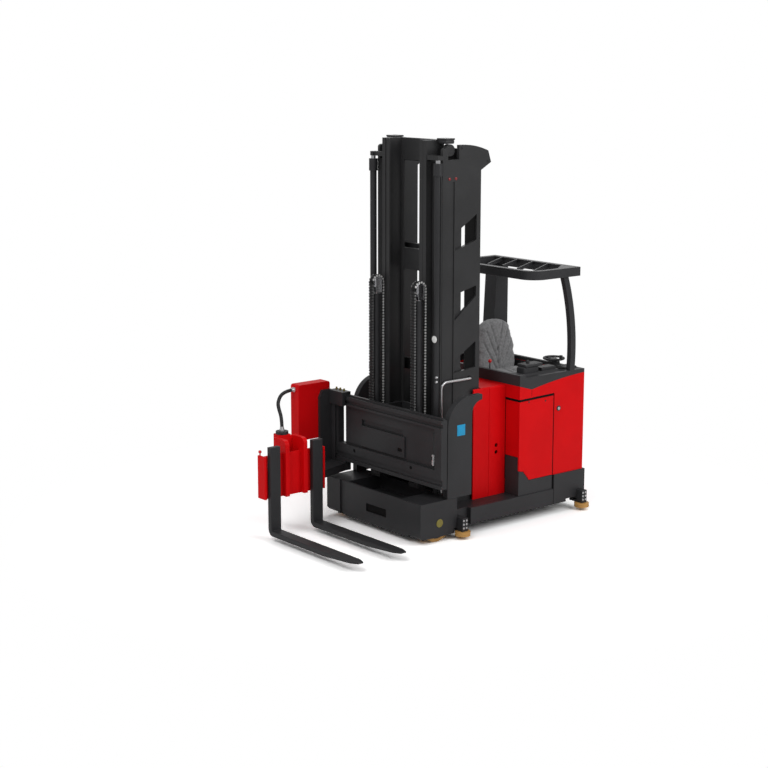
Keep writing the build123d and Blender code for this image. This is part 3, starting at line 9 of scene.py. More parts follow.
import bmesh
import bpy
from mathutils import Matrix, Vector


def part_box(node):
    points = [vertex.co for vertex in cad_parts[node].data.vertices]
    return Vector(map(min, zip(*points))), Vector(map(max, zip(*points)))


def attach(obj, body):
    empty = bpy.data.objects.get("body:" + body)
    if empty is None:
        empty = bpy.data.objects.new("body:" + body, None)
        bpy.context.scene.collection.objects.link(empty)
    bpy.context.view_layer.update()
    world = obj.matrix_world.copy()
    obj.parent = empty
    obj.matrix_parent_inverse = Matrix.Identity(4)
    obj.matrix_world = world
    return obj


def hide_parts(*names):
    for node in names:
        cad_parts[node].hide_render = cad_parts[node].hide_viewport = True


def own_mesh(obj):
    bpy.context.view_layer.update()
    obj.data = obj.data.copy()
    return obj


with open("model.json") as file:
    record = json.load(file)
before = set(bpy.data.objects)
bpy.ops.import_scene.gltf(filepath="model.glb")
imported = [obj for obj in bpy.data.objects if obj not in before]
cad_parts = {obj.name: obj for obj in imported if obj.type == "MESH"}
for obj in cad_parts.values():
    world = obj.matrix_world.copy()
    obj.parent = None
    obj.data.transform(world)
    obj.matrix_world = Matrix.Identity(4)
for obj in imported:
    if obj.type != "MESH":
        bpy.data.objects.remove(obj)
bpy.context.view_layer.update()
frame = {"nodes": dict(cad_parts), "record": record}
nodes = frame["nodes"]
scene = bpy.context.scene
scene.view_settings.view_transform = "Standard"

# Directions
RIGHT = (1.0, 0.0, 0.0)
LEFT = (-1.0, 0.0, 0.0)
FRONT = (0.0, -1.0, 0.0)
UP = (0.0, 0.0, 1.0)
DOWN = (0.0, 0.0, -1.0)
SIDES = (-1.0, 1.0)  # left and right

# Softened edges of the plate work
EDGE_WIDTH = 0.0025
FINE_EDGE_WIDTH = 0.0012
EDGE_ANGLE = 32.0


# Surfaces

PATCH_ENDS = (0.35, 0.65)  # noise levels of the darkest and the lightest patches
WORN_RANGE = (0.85, 1.20)  # shares of a finish's roughness in its patches
GRAIN_DEPTH = 0.3  # share of a grain's or thread's size
COAT_ROUGHNESS = 0.10
WAVE_SCALE = 0.314  # a wave texture's scale times the width of its bands


def noise(tree, coords, size, detail=3.0):
    """A noise texture whose features are about that size."""
    node = tree.nodes.new("ShaderNodeTexNoise")
    node.inputs["Scale"].default_value = 1.0 / size
    node.inputs["Detail"].default_value = detail
    tree.links.new(coords.outputs["Object"], node.inputs["Vector"])
    return node


def add_bump(tree, shader, height, strength, distance):
    """Raises a shader's surface by the given height output."""
    bump = tree.nodes.new("ShaderNodeBump")
    bump.inputs["Strength"].default_value = strength
    bump.inputs["Distance"].default_value = distance
    tree.links.new(height, bump.inputs["Height"])
    tree.links.new(bump.outputs["Normal"], shader.inputs["Normal"])


def surface(
    name, colour, roughness, metallic=0.0, coat=0.0, gloss=0.3,
    shade=0.08, patch=0.30, grain=0.1, fine=0.003,
):
    """A finish with slight patches of shade and gloss and a grain of about the given fineness."""
    material = bpy.data.materials.new(name)
    material.use_nodes = True
    tree = material.node_tree
    shader = tree.nodes["Principled BSDF"]
    shader.inputs["Metallic"].default_value = metallic
    shader.inputs["Coat Weight"].default_value = coat
    shader.inputs["Coat Roughness"].default_value = COAT_ROUGHNESS
    shader.inputs["Specular IOR Level"].default_value = gloss
    coords = tree.nodes.new("ShaderNodeTexCoord")
    patches = noise(tree, coords, patch)
    ramp = tree.nodes.new("ShaderNodeValToRGB")
    dark, light = ramp.color_ramp.elements
    dark.position, light.position = PATCH_ENDS
    dark.color = (*(c * (1.0 - shade) for c in colour), 1.0)
    light.color = (*(min(1.0, c * (1.0 + shade)) for c in colour), 1.0)
    tree.links.new(patches.outputs["Fac"], ramp.inputs["Fac"])
    tree.links.new(ramp.outputs["Color"], shader.inputs["Base Color"])
    worn = tree.nodes.new("ShaderNodeMapRange")
    worn.inputs["To Min"].default_value = roughness * WORN_RANGE[0]
    worn.inputs["To Max"].default_value = roughness * WORN_RANGE[1]
    tree.links.new(patches.outputs["Fac"], worn.inputs["Value"])
    tree.links.new(worn.outputs["Result"], shader.inputs["Roughness"])
    grains = noise(tree, coords, fine)
    add_bump(tree, shader, grains.outputs["Fac"], grain, fine * GRAIN_DEPTH)
    return material


def woven(name, colour, thread):
    """A seat cloth: two crossed sets of threads over a slight fleck, with a soft sheen."""
    material = surface(name, colour, roughness=0.85, shade=0.18, patch=0.02, grain=0.2, fine=0.004)
    tree = material.node_tree
    shader = tree.nodes["Principled BSDF"]
    shader.inputs["Sheen Weight"].default_value = 0.25
    coords = tree.nodes.new("ShaderNodeTexCoord")
    weave = tree.nodes.new("ShaderNodeMath")
    weave.operation = "MAXIMUM"
    for socket, direction in ((0, "Y"), (1, "DIAGONAL")):
        threads = tree.nodes.new("ShaderNodeTexWave")
        threads.bands_direction = direction
        threads.inputs["Scale"].default_value = WAVE_SCALE / thread
        threads.inputs["Distortion"].default_value = 0.4
        tree.links.new(coords.outputs["Object"], threads.inputs["Vector"])
        tree.links.new(threads.outputs["Fac"], weave.inputs[socket])
    add_bump(tree, shader, weave.outputs["Value"], 0.35, thread * GRAIN_DEPTH)
    return material


finishes = {
    "red_paint": surface("red_paint", (0.66, 0.003, 0.005), 0.42, gloss=0.08, shade=0.04, grain=0.03),
    "black_paint": surface("black_paint", (0.026, 0.026, 0.028), 0.42, grain=0.06),
    "mast_paint": surface("mast_paint", (0.028, 0.028, 0.029), 0.40, grain=0.06),
    "polyurethane": surface("polyurethane", (0.50, 0.27, 0.08), 0.38, shade=0.12, patch=0.06),
    "cast_iron": surface("cast_iron", (0.06, 0.06, 0.065), 0.55, metallic=0.4, grain=0.35, fine=0.005),
    "steel": surface("steel", (0.62, 0.62, 0.63), 0.32, metallic=0.9, grain=0.05),
    "chrome_rod": surface("chrome_rod", (0.72, 0.72, 0.74), 0.16, metallic=1.0, shade=0.03, grain=0.02),
    "chain_steel": surface("chain_steel", (0.030, 0.030, 0.031), 0.40, metallic=0.3, patch=0.05),
    "brass_cap": surface("brass_cap", (0.26, 0.22, 0.06), 0.45, metallic=0.5, patch=0.02),
    "black_plastic": surface("black_plastic", (0.030, 0.030, 0.032), 0.52, grain=0.30, fine=0.0018),
    "seat_fabric": woven("seat_fabric", (0.250, 0.250, 0.255), thread=0.004),
    "battery_case": surface("battery_case", (0.04, 0.04, 0.042), 0.60, grain=0.2),
    "hose_rubber": surface("hose_rubber", (0.018, 0.018, 0.019), 0.46, grain=0.15),
}
trim = {
    # The next two finishes are one steel for the pins' riveted heads, lit and shaded by paint: a painted
    # highlight on the back strands, painted shade on the front strands.
    "chain_bright": surface("chain_bright", (0.70, 0.70, 0.69), 0.45, metallic=0.2, patch=0.05),
    "chain_worn": surface("chain_worn", (0.17, 0.17, 0.17), 0.45, metallic=0.4, patch=0.05),
    "olive_brass": surface("olive_brass", (0.34, 0.27, 0.07), 0.36, metallic=0.7, patch=0.02),
    "cyan_plate": surface("cyan_plate", (0.012, 0.30, 0.56), 0.40, patch=0.05),
    "white_plate": surface("white_plate", (0.75, 0.75, 0.74), 0.40, shade=0.03),
    "red_button": surface("red_button", (0.62, 0.010, 0.010), 0.28, coat=0.4),
    "dark_red": surface("dark_red", (0.22, 0.010, 0.012), 0.30, coat=0.4),
    # Near-black: the display's own colour, and painted shade where it fills gaps, holes, a slot and openings.
    "black_and_painted_shade": surface("black_and_painted_shade", (0.006, 0.006, 0.006), 0.75, gloss=0.1),
}


# Mesh helpers

# Turned profiles: rows are (radius, height along the axis), in radii of the head
WASHER = ((1.5, -0.1), (1.5, 0.2), (1.4, 0.28))
HEXAGON = ((1.0, 0.1), (1.0, 0.8), (0.8, 0.95))
SOCKET_HEAD = ((1.0, -0.2), (1.0, 0.15), (0.82, 0.42), (0.50, 0.55), (0.42, 0.50), (0.38, 0.20))


def piece(name, body, finish, build):
    """A joined mesh made by build(bm), with its finish, on its body."""
    bm = bmesh.new()
    build(bm)
    bmesh.ops.recalc_face_normals(bm, faces=bm.faces)
    mesh = bpy.data.meshes.new(name)
    bm.to_mesh(mesh)
    bm.free()
    mesh.materials.append(finishes.get(finish) or trim[finish])
    obj = bpy.data.objects.new(name, mesh)
    scene.collection.objects.link(obj)
    mesh.polygons.foreach_set("use_smooth", [True] * len(mesh.polygons))
    mesh.set_sharp_from_angle(angle=math.radians(EDGE_ANGLE))
    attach(obj, body)
    return obj


def facing(place, axis):
    """A placement whose Z axis points along the given direction."""
    return Matrix.Translation(place) @ Vector(axis).to_track_quat("Z", "Y").to_matrix().to_4x4()


def scaled(profile, size):
    """A turned profile enlarged from units of one."""
    return [(size * radius, size * height) for radius, height in profile]


def add_rings(bm, rings):
    """A closed skin over rings of points, with flat ends."""
    for lower, upper in zip(rings, rings[1:]):
        for step in range(len(lower)):
            after = (step + 1) % len(lower)
            bm.faces.new((lower[step], lower[after], upper[after], upper[step]))
    bm.faces.new(rings[0])
    bm.faces.new(rings[-1])


def add_lathe(bm, place, axis, profile, sides=20):
    """A turned form: profile rows are (radius, height along the axis)."""
    seat_place = facing(place, axis)
    rings = []
    for radius, height in profile:
        ring = []
        for step in range(sides):
            angle = math.tau * step / sides
            spoke = Vector((radius * math.cos(angle), radius * math.sin(angle), height))
            ring.append(bm.verts.new(seat_place @ spoke))
        rings.append(ring)
    add_rings(bm, rings)


def add_lathe_pairs(bm, plate_x, places, profile):
    """The same turned form at places (y, z) on the outer faces of the left and the right plate."""
    for side in SIDES:
        for y, z in places:
            add_lathe(bm, (side * plate_x, y, z), (side, 0.0, 0.0), profile)


def add_box(bm, low, high, edge=0.001):
    """A block with softened edges."""
    size = Vector(high) - Vector(low)
    middle = (Vector(high) + Vector(low)) / 2.0
    place = Matrix.Translation(middle) @ Matrix.Diagonal((*size, 1.0))
    made = bmesh.ops.create_cube(bm, size=1.0, matrix=place)
    edges = {e for v in made["verts"] for e in v.link_edges}
    bmesh.ops.bevel(bm, geom=list(edges), offset=edge, segments=2, affect="EDGES", profile=0.5)


def add_prism(bm, corners, start_x, end_x):
    """A flat form across X: corner rows are (y, z)."""
    near = [bm.verts.new((start_x, y, z)) for y, z in corners]
    far = [bm.verts.new((end_x, y, z)) for y, z in corners]
    add_rings(bm, [near, far])


def add_bolt(bm, place, axis, radius):
    """A hexagon head on a washer."""
    add_lathe(bm, place, axis, scaled(WASHER, radius))
    add_lathe(bm, place, axis, scaled(HEXAGON, radius), sides=6)


def add_screw(bm, place, axis, radius):
    """A low domed head with a socket."""
    add_lathe(bm, place, axis, scaled(SOCKET_HEAD, radius), sides=12)


def add_tube(bm, points, radius, sides=12):
    """A round pipe through points, with closed ends. Its radius may be a function of a point's index."""
    points = [Vector(p) for p in points]
    rings = []
    across = None
    for index, point in enumerate(points):
        before = points[max(index - 1, 0)]
        after = points[min(index + 1, len(points) - 1)]
        along = (after - before).normalized()
        if across is None:
            across = along.orthogonal().normalized()
        across = (across - along * across.dot(along)).normalized()
        other = along.cross(across)
        size = radius(index) if callable(radius) else radius
        ring = []
        for step in range(sides):
            angle = math.tau * step / sides
            ring.append(bm.verts.new(point + (across * math.cos(angle) + other * math.sin(angle)) * size))
        rings.append(ring)
    add_rings(bm, rings)


def spline_points(name, route, resolution=16):
    """Points along a smooth spline whose control points are the route."""
    curve = bpy.data.curves.new(name, "CURVE")
    curve.dimensions = "3D"
    spline = curve.splines.new("NURBS")
    spline.points.add(len(route) - 1)
    for point, place in zip(spline.points, route):
        point.co = (*place, 1.0)
    spline.order_u = 3
    spline.use_endpoint_u = True
    spline.resolution_u = resolution
    holder = bpy.data.objects.new(name, curve)
    mesh = bpy.data.meshes.new_from_object(holder)
    points = [v.co.copy() for v in mesh.vertices]
    bpy.data.objects.remove(holder)
    bpy.data.curves.remove(curve)
    bpy.data.meshes.remove(mesh)
    return points


def along_line(points, step):
    """Points at even steps along a line of points, with its first and last, and the line's length."""
    lengths = [0.0]
    for start, end in zip(points, points[1:]):
        lengths.append(lengths[-1] + (end - start).length)
    count = max(2, round(lengths[-1] / step))
    placed = []
    index = 0
    for number in range(count + 1):
        target = lengths[-1] * number / count
        while index < len(points) - 2 and lengths[index + 1] < target:
            index += 1
        share = (target - lengths[index]) / (lengths[index + 1] - lengths[index])
        placed.append(points[index].lerp(points[index + 1], share))
    return placed, lengths[-1]


def apply_modifiers(obj):
    """Leaves the object with the mesh that its modifiers give."""
    shape = bpy.data.meshes.new_from_object(obj.evaluated_get(bpy.context.evaluated_depsgraph_get()))
    obj.modifiers.clear()
    obj.data = shape


# Finishes of the frame's nodes

REPLACED_NODES = {"chain_fronts", "chain_returns", "hydraulic_hose", "seat_cushion", "seat_back"}
FINE_NODES = {
    "load_axles",
    "main_rods",
    "free_rods",
    "steering_wheel",
    "lever_console",
    "lift_pipe",
    "turret_rotor",
}


def soften_edges(node, width):
    """Joins a node's split faces, rounds its edges and shades it evenly."""
    weld = node.modifiers.new("weld", "WELD")
    weld.merge_threshold = 0.00002
    flat = node.modifiers.new("flat", "DECIMATE")
    flat.decimate_type = "DISSOLVE"
    flat.angle_limit = math.radians(0.5)
    bevel = node.modifiers.new("edges", "BEVEL")
    bevel.width = width
    bevel.segments = 2
    bevel.limit_method = "ANGLE"
    bevel.angle_limit = math.radians(EDGE_ANGLE)
    shade = node.modifiers.new("shade", "WEIGHTED_NORMAL")
    shade.keep_sharp = True


def dress_nodes():
    """Gives every node its slot's finish and softens the edges of what isn't replaced."""
    for row in frame["record"]["subparts"]:
        node = nodes[row["node"]]
        node.data.materials.clear()
        node.data.materials.append(finishes[row["material_slot"]])
        if row["node"] not in REPLACED_NODES:
            soften_edges(node, FINE_EDGE_WIDTH if row["node"] in FINE_NODES else EDGE_WIDTH)


# Leaf chains, fitted in the solids that stand for them

CHAIN_PITCH = 0.0254
CHAIN_WIDTH = 0.050
CHAIN_DEPTH = 0.014  # of the solids
CHAIN_HEIGHT = 0.019  # of the plates
CHAIN_WAIST = 0.55  # share of a plate's height that is left at its middle
CHAIN_PLATE = 0.0042
CHAIN_SIDE_GAP = 0.004  # between the plates and the pins' heads, both sides together
CHAIN_ROWS = 5  # plates in a wide pack
CHAIN_PIN = 0.0040
CHAIN_HEAD = 0.0095  # radius of a pin's riveted ends
CHAIN_HEAD_DEPTH = 0.002
CHAIN_SHOULDER = 0.0002
CHAIN_FOOT = 0.690
CHAIN_ARC_STEPS = 7
ANCHORED_LENGTH = 0.77  # the anchored chain's links, width and plates, as shares of the lift chain's
ANCHORED_WIDTH = 0.86
ANCHORED_HEIGHT = 0.8
PLATE_END_STEPS = 5  # points round a plate's end
PLATE_END_TURN = 40.0  # degrees between them
PLATE_END_STARTS = (-80.0, 100.0)  # the first point's angle at the far and the near end


def add_leaf(bm, start, end, offset, height, thickness):
    """One chain plate from pin to pin, with round ends and a waist, at an offset across the chain."""
    along = (end - start).normalized()
    across = Vector(RIGHT)
    up = across.cross(along)
    reach = height / 2.0
    half = (end - start).length / 2.0
    middle = (start + end) / 2.0
    outline = []
    for shift, first in zip((half, -half), PLATE_END_STARTS):
        for turn in range(PLATE_END_STEPS):
            angle = math.radians(first + PLATE_END_TURN * turn)
            outline.append((shift + reach * math.cos(angle), reach * math.sin(angle)))
        waist = reach * CHAIN_WAIST if shift > 0.0 else -reach * CHAIN_WAIST
        outline.append((0.0, waist))
    faces = []
    for edge in (-0.5, 0.5):
        place = middle + across * (offset + edge * thickness)
        faces.append([bm.verts.new(place + along * a + up * b) for a, b in outline])
    add_rings(bm, faces)


def add_chain(bm, points, width, height):
    """A leaf chain through points: wide and narrow packs of plates by turns."""
    step = (width - CHAIN_PLATE - CHAIN_SIDE_GAP) / (2 * CHAIN_ROWS - 2)
    for number, (start, end) in enumerate(zip(points, points[1:])):
        for row in range(number % 2, 2 * CHAIN_ROWS - 1, 2):
            add_leaf(bm, start, end, (row - CHAIN_ROWS + 1) * step, height, CHAIN_PLATE)


def add_pins(bm, points, width):
    """The chain's pins, with their riveted ends."""
    shoulder = CHAIN_HEAD_DEPTH + CHAIN_SHOULDER
    profile = (
        (CHAIN_HEAD, 0.0),
        (CHAIN_HEAD, CHAIN_HEAD_DEPTH),
        (CHAIN_PIN, shoulder),
        (CHAIN_PIN, width - shoulder),
        (CHAIN_HEAD, width - CHAIN_HEAD_DEPTH),
        (CHAIN_HEAD, width),
    )
    for point in points:
        add_lathe(bm, point - Vector(RIGHT) * width / 2.0, RIGHT, profile, sides=12)


def join_meshes(name, target, others):
    """Joins objects into the first one, which keeps their finishes as further slots."""
    with bpy.context.temp_override(active_object=target, selected_editable_objects=[target, *others]):
        bpy.ops.object.join()
    target.name = name
    return target


def two_tone_chain(name, body, strands, width, height, pin_finish):
    """Plates and pins of some strands as one mesh with two finishes."""
    plate_width = width - 2.0 * CHAIN_HEAD_DEPTH

    def build_plates(bm):
        for strand in strands:
            add_chain(bm, strand, plate_width, height)

    def build_pins(bm):
        for strand in strands:
            add_pins(bm, strand, width)

    plates = piece(name, body, "chain_steel", build_plates)
    pins = piece(name + "_pins", body, pin_finish, build_pins)
    return join_meshes(name, plates, [pins])


def lift_chains():
    """The pair of lift chains: front strands on the carriage, arcs and back strands on the pulleys."""
    low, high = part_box("chain_fronts")
    front_y = (low[1] + high[1]) / 2.0
    chain_x = high[0] - CHAIN_WIDTH / 2.0
    pulley_z = high[2]
    back_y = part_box("chain_returns")[1][1] - CHAIN_DEPTH / 2.0
    arc_radius = (back_y - front_y) / 2.0
    pulley_y = (back_y + front_y) / 2.0
    links = round((pulley_z - CHAIN_FOOT) / CHAIN_PITCH)
    pitch = (pulley_z - CHAIN_FOOT) / links
    anchored_links = round(links * ANCHORED_LENGTH)
    fronts = []
    returns = []
    anchored = []
    for x in (-chain_x, chain_x):
        fronts.append([Vector((x, front_y, CHAIN_FOOT + pitch * n)) for n in range(links + 1)])
        arc = []
        for step in range(CHAIN_ARC_STEPS + 1):
            angle = math.pi - math.pi * step / CHAIN_ARC_STEPS
            arc_y = pulley_y + arc_radius * math.cos(angle)
            arc_z = pulley_z + arc_radius * math.sin(angle)
            arc.append(Vector((x, arc_y, arc_z)))
        down = [Vector((x, back_y, pulley_z - pitch * n)) for n in range(1, links + 1)]
        returns.append(arc + down)
        anchored.append([Vector((x, back_y, CHAIN_FOOT + pitch * n)) for n in range(anchored_links)])
    size = (CHAIN_WIDTH, CHAIN_HEIGHT)
    # Pin heads carry painted light: painted shade on the front strands, a painted highlight on the back
    # strands and on the anchored chain.
    front = two_tone_chain("lift_chain_fronts", "carriage", fronts, *size, "chain_worn")
    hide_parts("chain_fronts")
    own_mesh(front)
    back = two_tone_chain("lift_chain_returns", "lift_rods", returns, *size, "chain_bright")
    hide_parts("chain_returns")
    narrow = ANCHORED_WIDTH * CHAIN_WIDTH
    low_plate = ANCHORED_HEIGHT * CHAIN_HEIGHT
    two_tone_chain("lift_chain_anchored", "inner_mast", anchored, narrow, low_plate, "chain_bright")


# Hose: its route has the same points as the solid's

HOSE_ROUTE = (
    (-0.828, -0.742, 1.150),
    (-0.828, -0.812, 1.150),
    (-0.800, -0.912, 1.130),
    (-0.720, -1.002, 1.085),
    (-0.610, -1.072, 1.060),
    (-0.489, -1.126, 1.000),
    (-0.489, -1.126, 0.891),
)
HOSE_RADIUS = 0.016
HOSE_GROOVE = 0.0014
HOSE_RIB_PITCH = 0.009
HOSE_SIDES = 18
HOSE_COLLAR = ((1.20, -0.1), (1.20, 1.6), (1.05, 2.0), (1.05, 2.4))  # in hose radii
HOSE_NUT = ((1.55, -0.1), (1.55, 0.8), (1.35, 0.95))


def fork_head_hose():
    """The ribbed hose from the housing to the turret's pivot, with its end fittings."""
    line = spline_points("hose_line", HOSE_ROUTE, resolution=24)
    points, length = along_line(line, HOSE_RIB_PITCH / 2.0)

    def rib(index):
        return HOSE_RADIUS - (HOSE_GROOVE if index % 2 else 0.0)

    def tube(bm):
        add_tube(bm, points, rib, HOSE_SIDES)

    hose = piece("fork_head_hose", "traverse", "hose_rubber", tube)
    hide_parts("hydraulic_hose")

    def fittings(bm):
        for profile, sides in ((HOSE_COLLAR, 20), (HOSE_NUT, 6)):
            add_lathe(bm, HOSE_ROUTE[0], FRONT, scaled(profile, HOSE_RADIUS), sides)
            add_lathe(bm, HOSE_ROUTE[-1], UP, scaled(profile, HOSE_RADIUS), sides)

    ends = piece("hose_fittings", "traverse", "steel", fittings)


# Seat

PAD_SHRINK = 0.010  # room inside the solid for the stuffing to swell
PAD_SWELL = 0.014  # the most that it swells
PAD_VOXEL = 0.007
PAD_PRESSURE = 4.0
PAD_STEPS = 12
PAD_WAIST = 0.45  # share of the height above which fullness widens a pad
CHANNEL_WIDTH = 0.010
CHANNEL_FACING = -0.3
CUSHION_CHANNELS = ((0.05, 0.62), (0.40, 0.36))  # start along the cushion and spread, as shares
CUSHION_CHANNEL_END = 0.05
CUSHION_CHANNEL_DEPTH = 0.012
BACK_SPINE = (0.05, 0.50)  # low and high end of the middle channel, as shares of the height
BACK_CHANNELS = ((0.08, 0.62, 0.74), (0.28, 0.80, 0.56), (0.50, 0.92, 0.34))  # low and high end, spread
BACK_CHANNEL_DEPTH = 0.014
BACK_FULLNESS = 0.9


def soft_pad(name, node, channels, fullness=0.0):
    """A stuffed pad swelled by a cloth simulation inside its solid, with sewn channels pressed into it.

    Channel rows are (start, end, inward direction, depth). Fullness widens the upper part of the pad.
    """
    low, high = (Vector(c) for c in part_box(node))
    middle = (low + high) / 2.0
    mesh = nodes[node].data.copy()
    pad = bpy.data.objects.new(name, mesh)
    scene.collection.objects.link(pad)
    mesh.materials.clear()
    mesh.materials.append(finishes["seat_fabric"])
    for vertex in mesh.vertices:
        for axis in range(3):
            half = (high[axis] - low[axis]) / 2.0
            vertex.co[axis] = middle[axis] + (vertex.co[axis] - middle[axis]) * (1.0 - PAD_SHRINK / half)
        rise = (vertex.co.z - low.z) / (high.z - low.z)
        widening = 1.0 + fullness * max(0.0, rise - PAD_WAIST)
        vertex.co.y = middle.y + (vertex.co.y - middle.y) * widening
    remesh = pad.modifiers.new("remesh", "REMESH")
    remesh.mode = "VOXEL"
    remesh.voxel_size = PAD_VOXEL
    apply_modifiers(pad)
    rest = [v.co.copy() for v in pad.data.vertices]
    swell(pad)
    for vertex, start in zip(pad.data.vertices, rest):
        move = vertex.co - start
        if move.length > PAD_SWELL:
            vertex.co = start + move.normalized() * PAD_SWELL
    press_channels(pad, channels)
    fine = pad.modifiers.new("fine", "SUBSURF")
    fine.levels = 1
    fine.render_levels = 1
    pad.data.polygons.foreach_set("use_smooth", [True] * len(pad.data.polygons))
    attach(pad, "chassis")
    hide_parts(node)


def swell(pad):
    """Blows the pad up for a few steps, without weight."""
    cloth = pad.modifiers.new("cloth", "CLOTH")
    cloth.settings.use_pressure = True
    cloth.settings.uniform_pressure_force = PAD_PRESSURE
    cloth.settings.effector_weights.gravity = 0.0
    cloth.settings.quality = 4
    for number in range(1, PAD_STEPS + 1):
        scene.frame_set(number)
    apply_modifiers(pad)
    scene.frame_set(1)


def press_channels(pad, channels):
    """Presses narrow stitched grooves along straight lines into the faces that look the channel's way."""
    pad.data.update()
    for start, end, inward, depth in channels:
        start = Vector(start)
        end = Vector(end)
        inward = Vector(inward)
        run = end - start
        for vertex in pad.data.vertices:
            if vertex.normal.dot(inward) > CHANNEL_FACING:
                continue
            offset = vertex.co - start
            flat = offset - inward * offset.dot(inward)
            share = min(1.0, max(0.0, flat.dot(run) / run.length_squared))
            distance = (flat - run * share).length
            if distance < 3.0 * CHANNEL_WIDTH:
                vertex.co += inward * depth * math.exp(-((distance / CHANNEL_WIDTH) ** 2))


def seat():
    """The cushion and back, each with sewn channels that fan out from its middle."""
    low, high = (Vector(c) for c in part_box("seat_cushion"))
    middle_y = (low.y + high.y) / 2.0
    length = high.x - low.x
    half = (high.y - low.y) / 2.0
    cushion_lines = []
    for start, spread in CUSHION_CHANNELS:
        for side in SIDES:
            fork = (low.x + start * length, middle_y, 0.0)
            tip = (high.x - CUSHION_CHANNEL_END * length, middle_y + side * spread * half, 0.0)
            cushion_lines.append((fork, tip, DOWN, CUSHION_CHANNEL_DEPTH))
    soft_pad("seat_cushion_pad", "seat_cushion", cushion_lines)
    low, high = (Vector(c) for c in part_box("seat_back"))
    height = high.z - low.z
    foot, head = ((0.0, middle_y, low.z + share * height) for share in BACK_SPINE)
    back_lines = [(foot, head, LEFT, BACK_CHANNEL_DEPTH)]
    for start, end, spread in BACK_CHANNELS:
        for side in SIDES:
            fork = (0.0, middle_y, low.z + start * height)
            tip = (0.0, middle_y + side * spread * half, low.z + end * height)
            back_lines.append((fork, tip, LEFT, BACK_CHANNEL_DEPTH))
    soft_pad("seat_back_pad", "seat_back", back_lines, fullness=BACK_FULLNESS)


# Guide rollers

BRACKET_BOLT_SHIFTS = (-0.016, 0.016)
BRACKET_BOLT_HEIGHTS = (0.098, 0.131, 0.164)
BRACKET_BOLT_RADIUS = 0.0062


def roller_fittings():
    """The bolts that hold the guide rollers' brackets."""
    bracket_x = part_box("roller_brackets")[1][0]

    def bolts(bm):
        for end in ("front", "rear"):
            for side, name in zip(SIDES, ("left", "right")):
                low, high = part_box(f"guide_roller_{end}_{name}")
                middle_y = (low[1] + high[1]) / 2.0
                for shift in BRACKET_BOLT_SHIFTS:
                    for height in BRACKET_BOLT_HEIGHTS:
                        place = (side * bracket_x, middle_y + shift, height)
                        add_bolt(bm, place, (side, 0.0, 0.0), BRACKET_BOLT_RADIUS)

    piece("bracket_bolts", "chassis", "steel", bolts)


# Service cover

COVER_TOP = (1.090, 1.100)  # heights of the cover's side at its front and back
COVER_GAP = 0.012
COVER_TOP_GAP = 0.022
COVER_SCREWS = ((0.733, 0.020), (0.935, 0.034))  # place along the cover, drop below its top
COVER_SCREW_RADIUS = 0.008
STRIP_DEPTH = (0.004, 0.010)  # of the dark strips in the gaps, behind the cover's faces; the strips are painted shade
STRIP_LIFT = 0.001
STRIP_CLEAR = 0.0005
SEAM_Y = (0.764, 0.7675)
SEAM_RISE = 0.026  # of its foot above the cover
SEAM_DROP = 0.080  # of its head below the cab side's top
SEAM_PROUD = 0.0004
SEAM_EDGE = 0.0002
LOCK_PLACE = (1.100, 0.975)
LOCK_SURROUND = ((0.024, -0.001), (0.024, 0.003), (0.020, 0.005))
LOCK_BARREL = ((0.014, 0.004), (0.014, 0.008), (0.012, 0.009), (0.004, 0.009), (0.004, 0.006))


def service_cover_fittings():
    """The service cover's screws, the dark strips of painted shade in the gaps round it, the seam beside it
    and the cab's lock.
    """
    low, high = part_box("service_panel")
    inner_x, side_x = low[0], high[0]
    front_y, back_y = low[1], high[1]
    foot_z, top_z = low[2], high[2]
    shallow, deep = STRIP_DEPTH

    def screws(bm):
        for y, drop in COVER_SCREWS:
            add_screw(bm, (side_x, y, top_z - drop), RIGHT, COVER_SCREW_RADIUS)

    piece("cover_screws", "chassis", "black_plastic", screws)

    # Dark strips behind the cover's edges: painted shade in the gaps.
    def gaps(bm):
        front_top, back_top = COVER_TOP
        strip_y = front_y + shallow
        strip_back_y = front_y + deep
        gap_top = front_top + COVER_TOP_GAP
        near, far = side_x - deep, side_x - shallow
        top_gap = [
            (strip_y, front_top + STRIP_LIFT),
            (back_y, back_top + STRIP_LIFT),
            (back_y + COVER_GAP, back_top + COVER_TOP_GAP),
            (strip_y, gap_top),
        ]
        add_prism(bm, top_gap, near, far)
        back_gap = [
            (back_y + STRIP_CLEAR, foot_z),
            (back_y + COVER_GAP, foot_z),
            (back_y + COVER_GAP, back_top),
            (back_y + STRIP_CLEAR, back_top),
        ]
        add_prism(bm, back_gap, near, far)
        inner_end = (inner_x - STRIP_CLEAR, strip_back_y, gap_top)
        add_box(bm, (inner_x - COVER_GAP, strip_y, foot_z), inner_end)
        add_box(bm, (inner_x, strip_y, front_top + STRIP_LIFT), (near, strip_back_y, gap_top))

    piece("cover_gap_painted_shade", "chassis", "black_and_painted_shade", gaps)

    def seam(bm):
        start_y, end_y = SEAM_Y
        head_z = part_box("cab_side_right")[1][2] - SEAM_DROP
        foot = (side_x - shallow, start_y, top_z + SEAM_RISE)
        add_box(bm, foot, (side_x + SEAM_PROUD, end_y, head_z), SEAM_EDGE)

    piece("cab_seam", "chassis", "black_and_painted_shade", seam)
    lock = (side_x, *LOCK_PLACE)
    piece("lock_surround", "chassis", "black_plastic", lambda bm: add_lathe(bm, lock, RIGHT, LOCK_SURROUND))
    piece("lock_barrel", "chassis", "steel", lambda bm: add_lathe(bm, lock, RIGHT, LOCK_BARREL))


# Mast

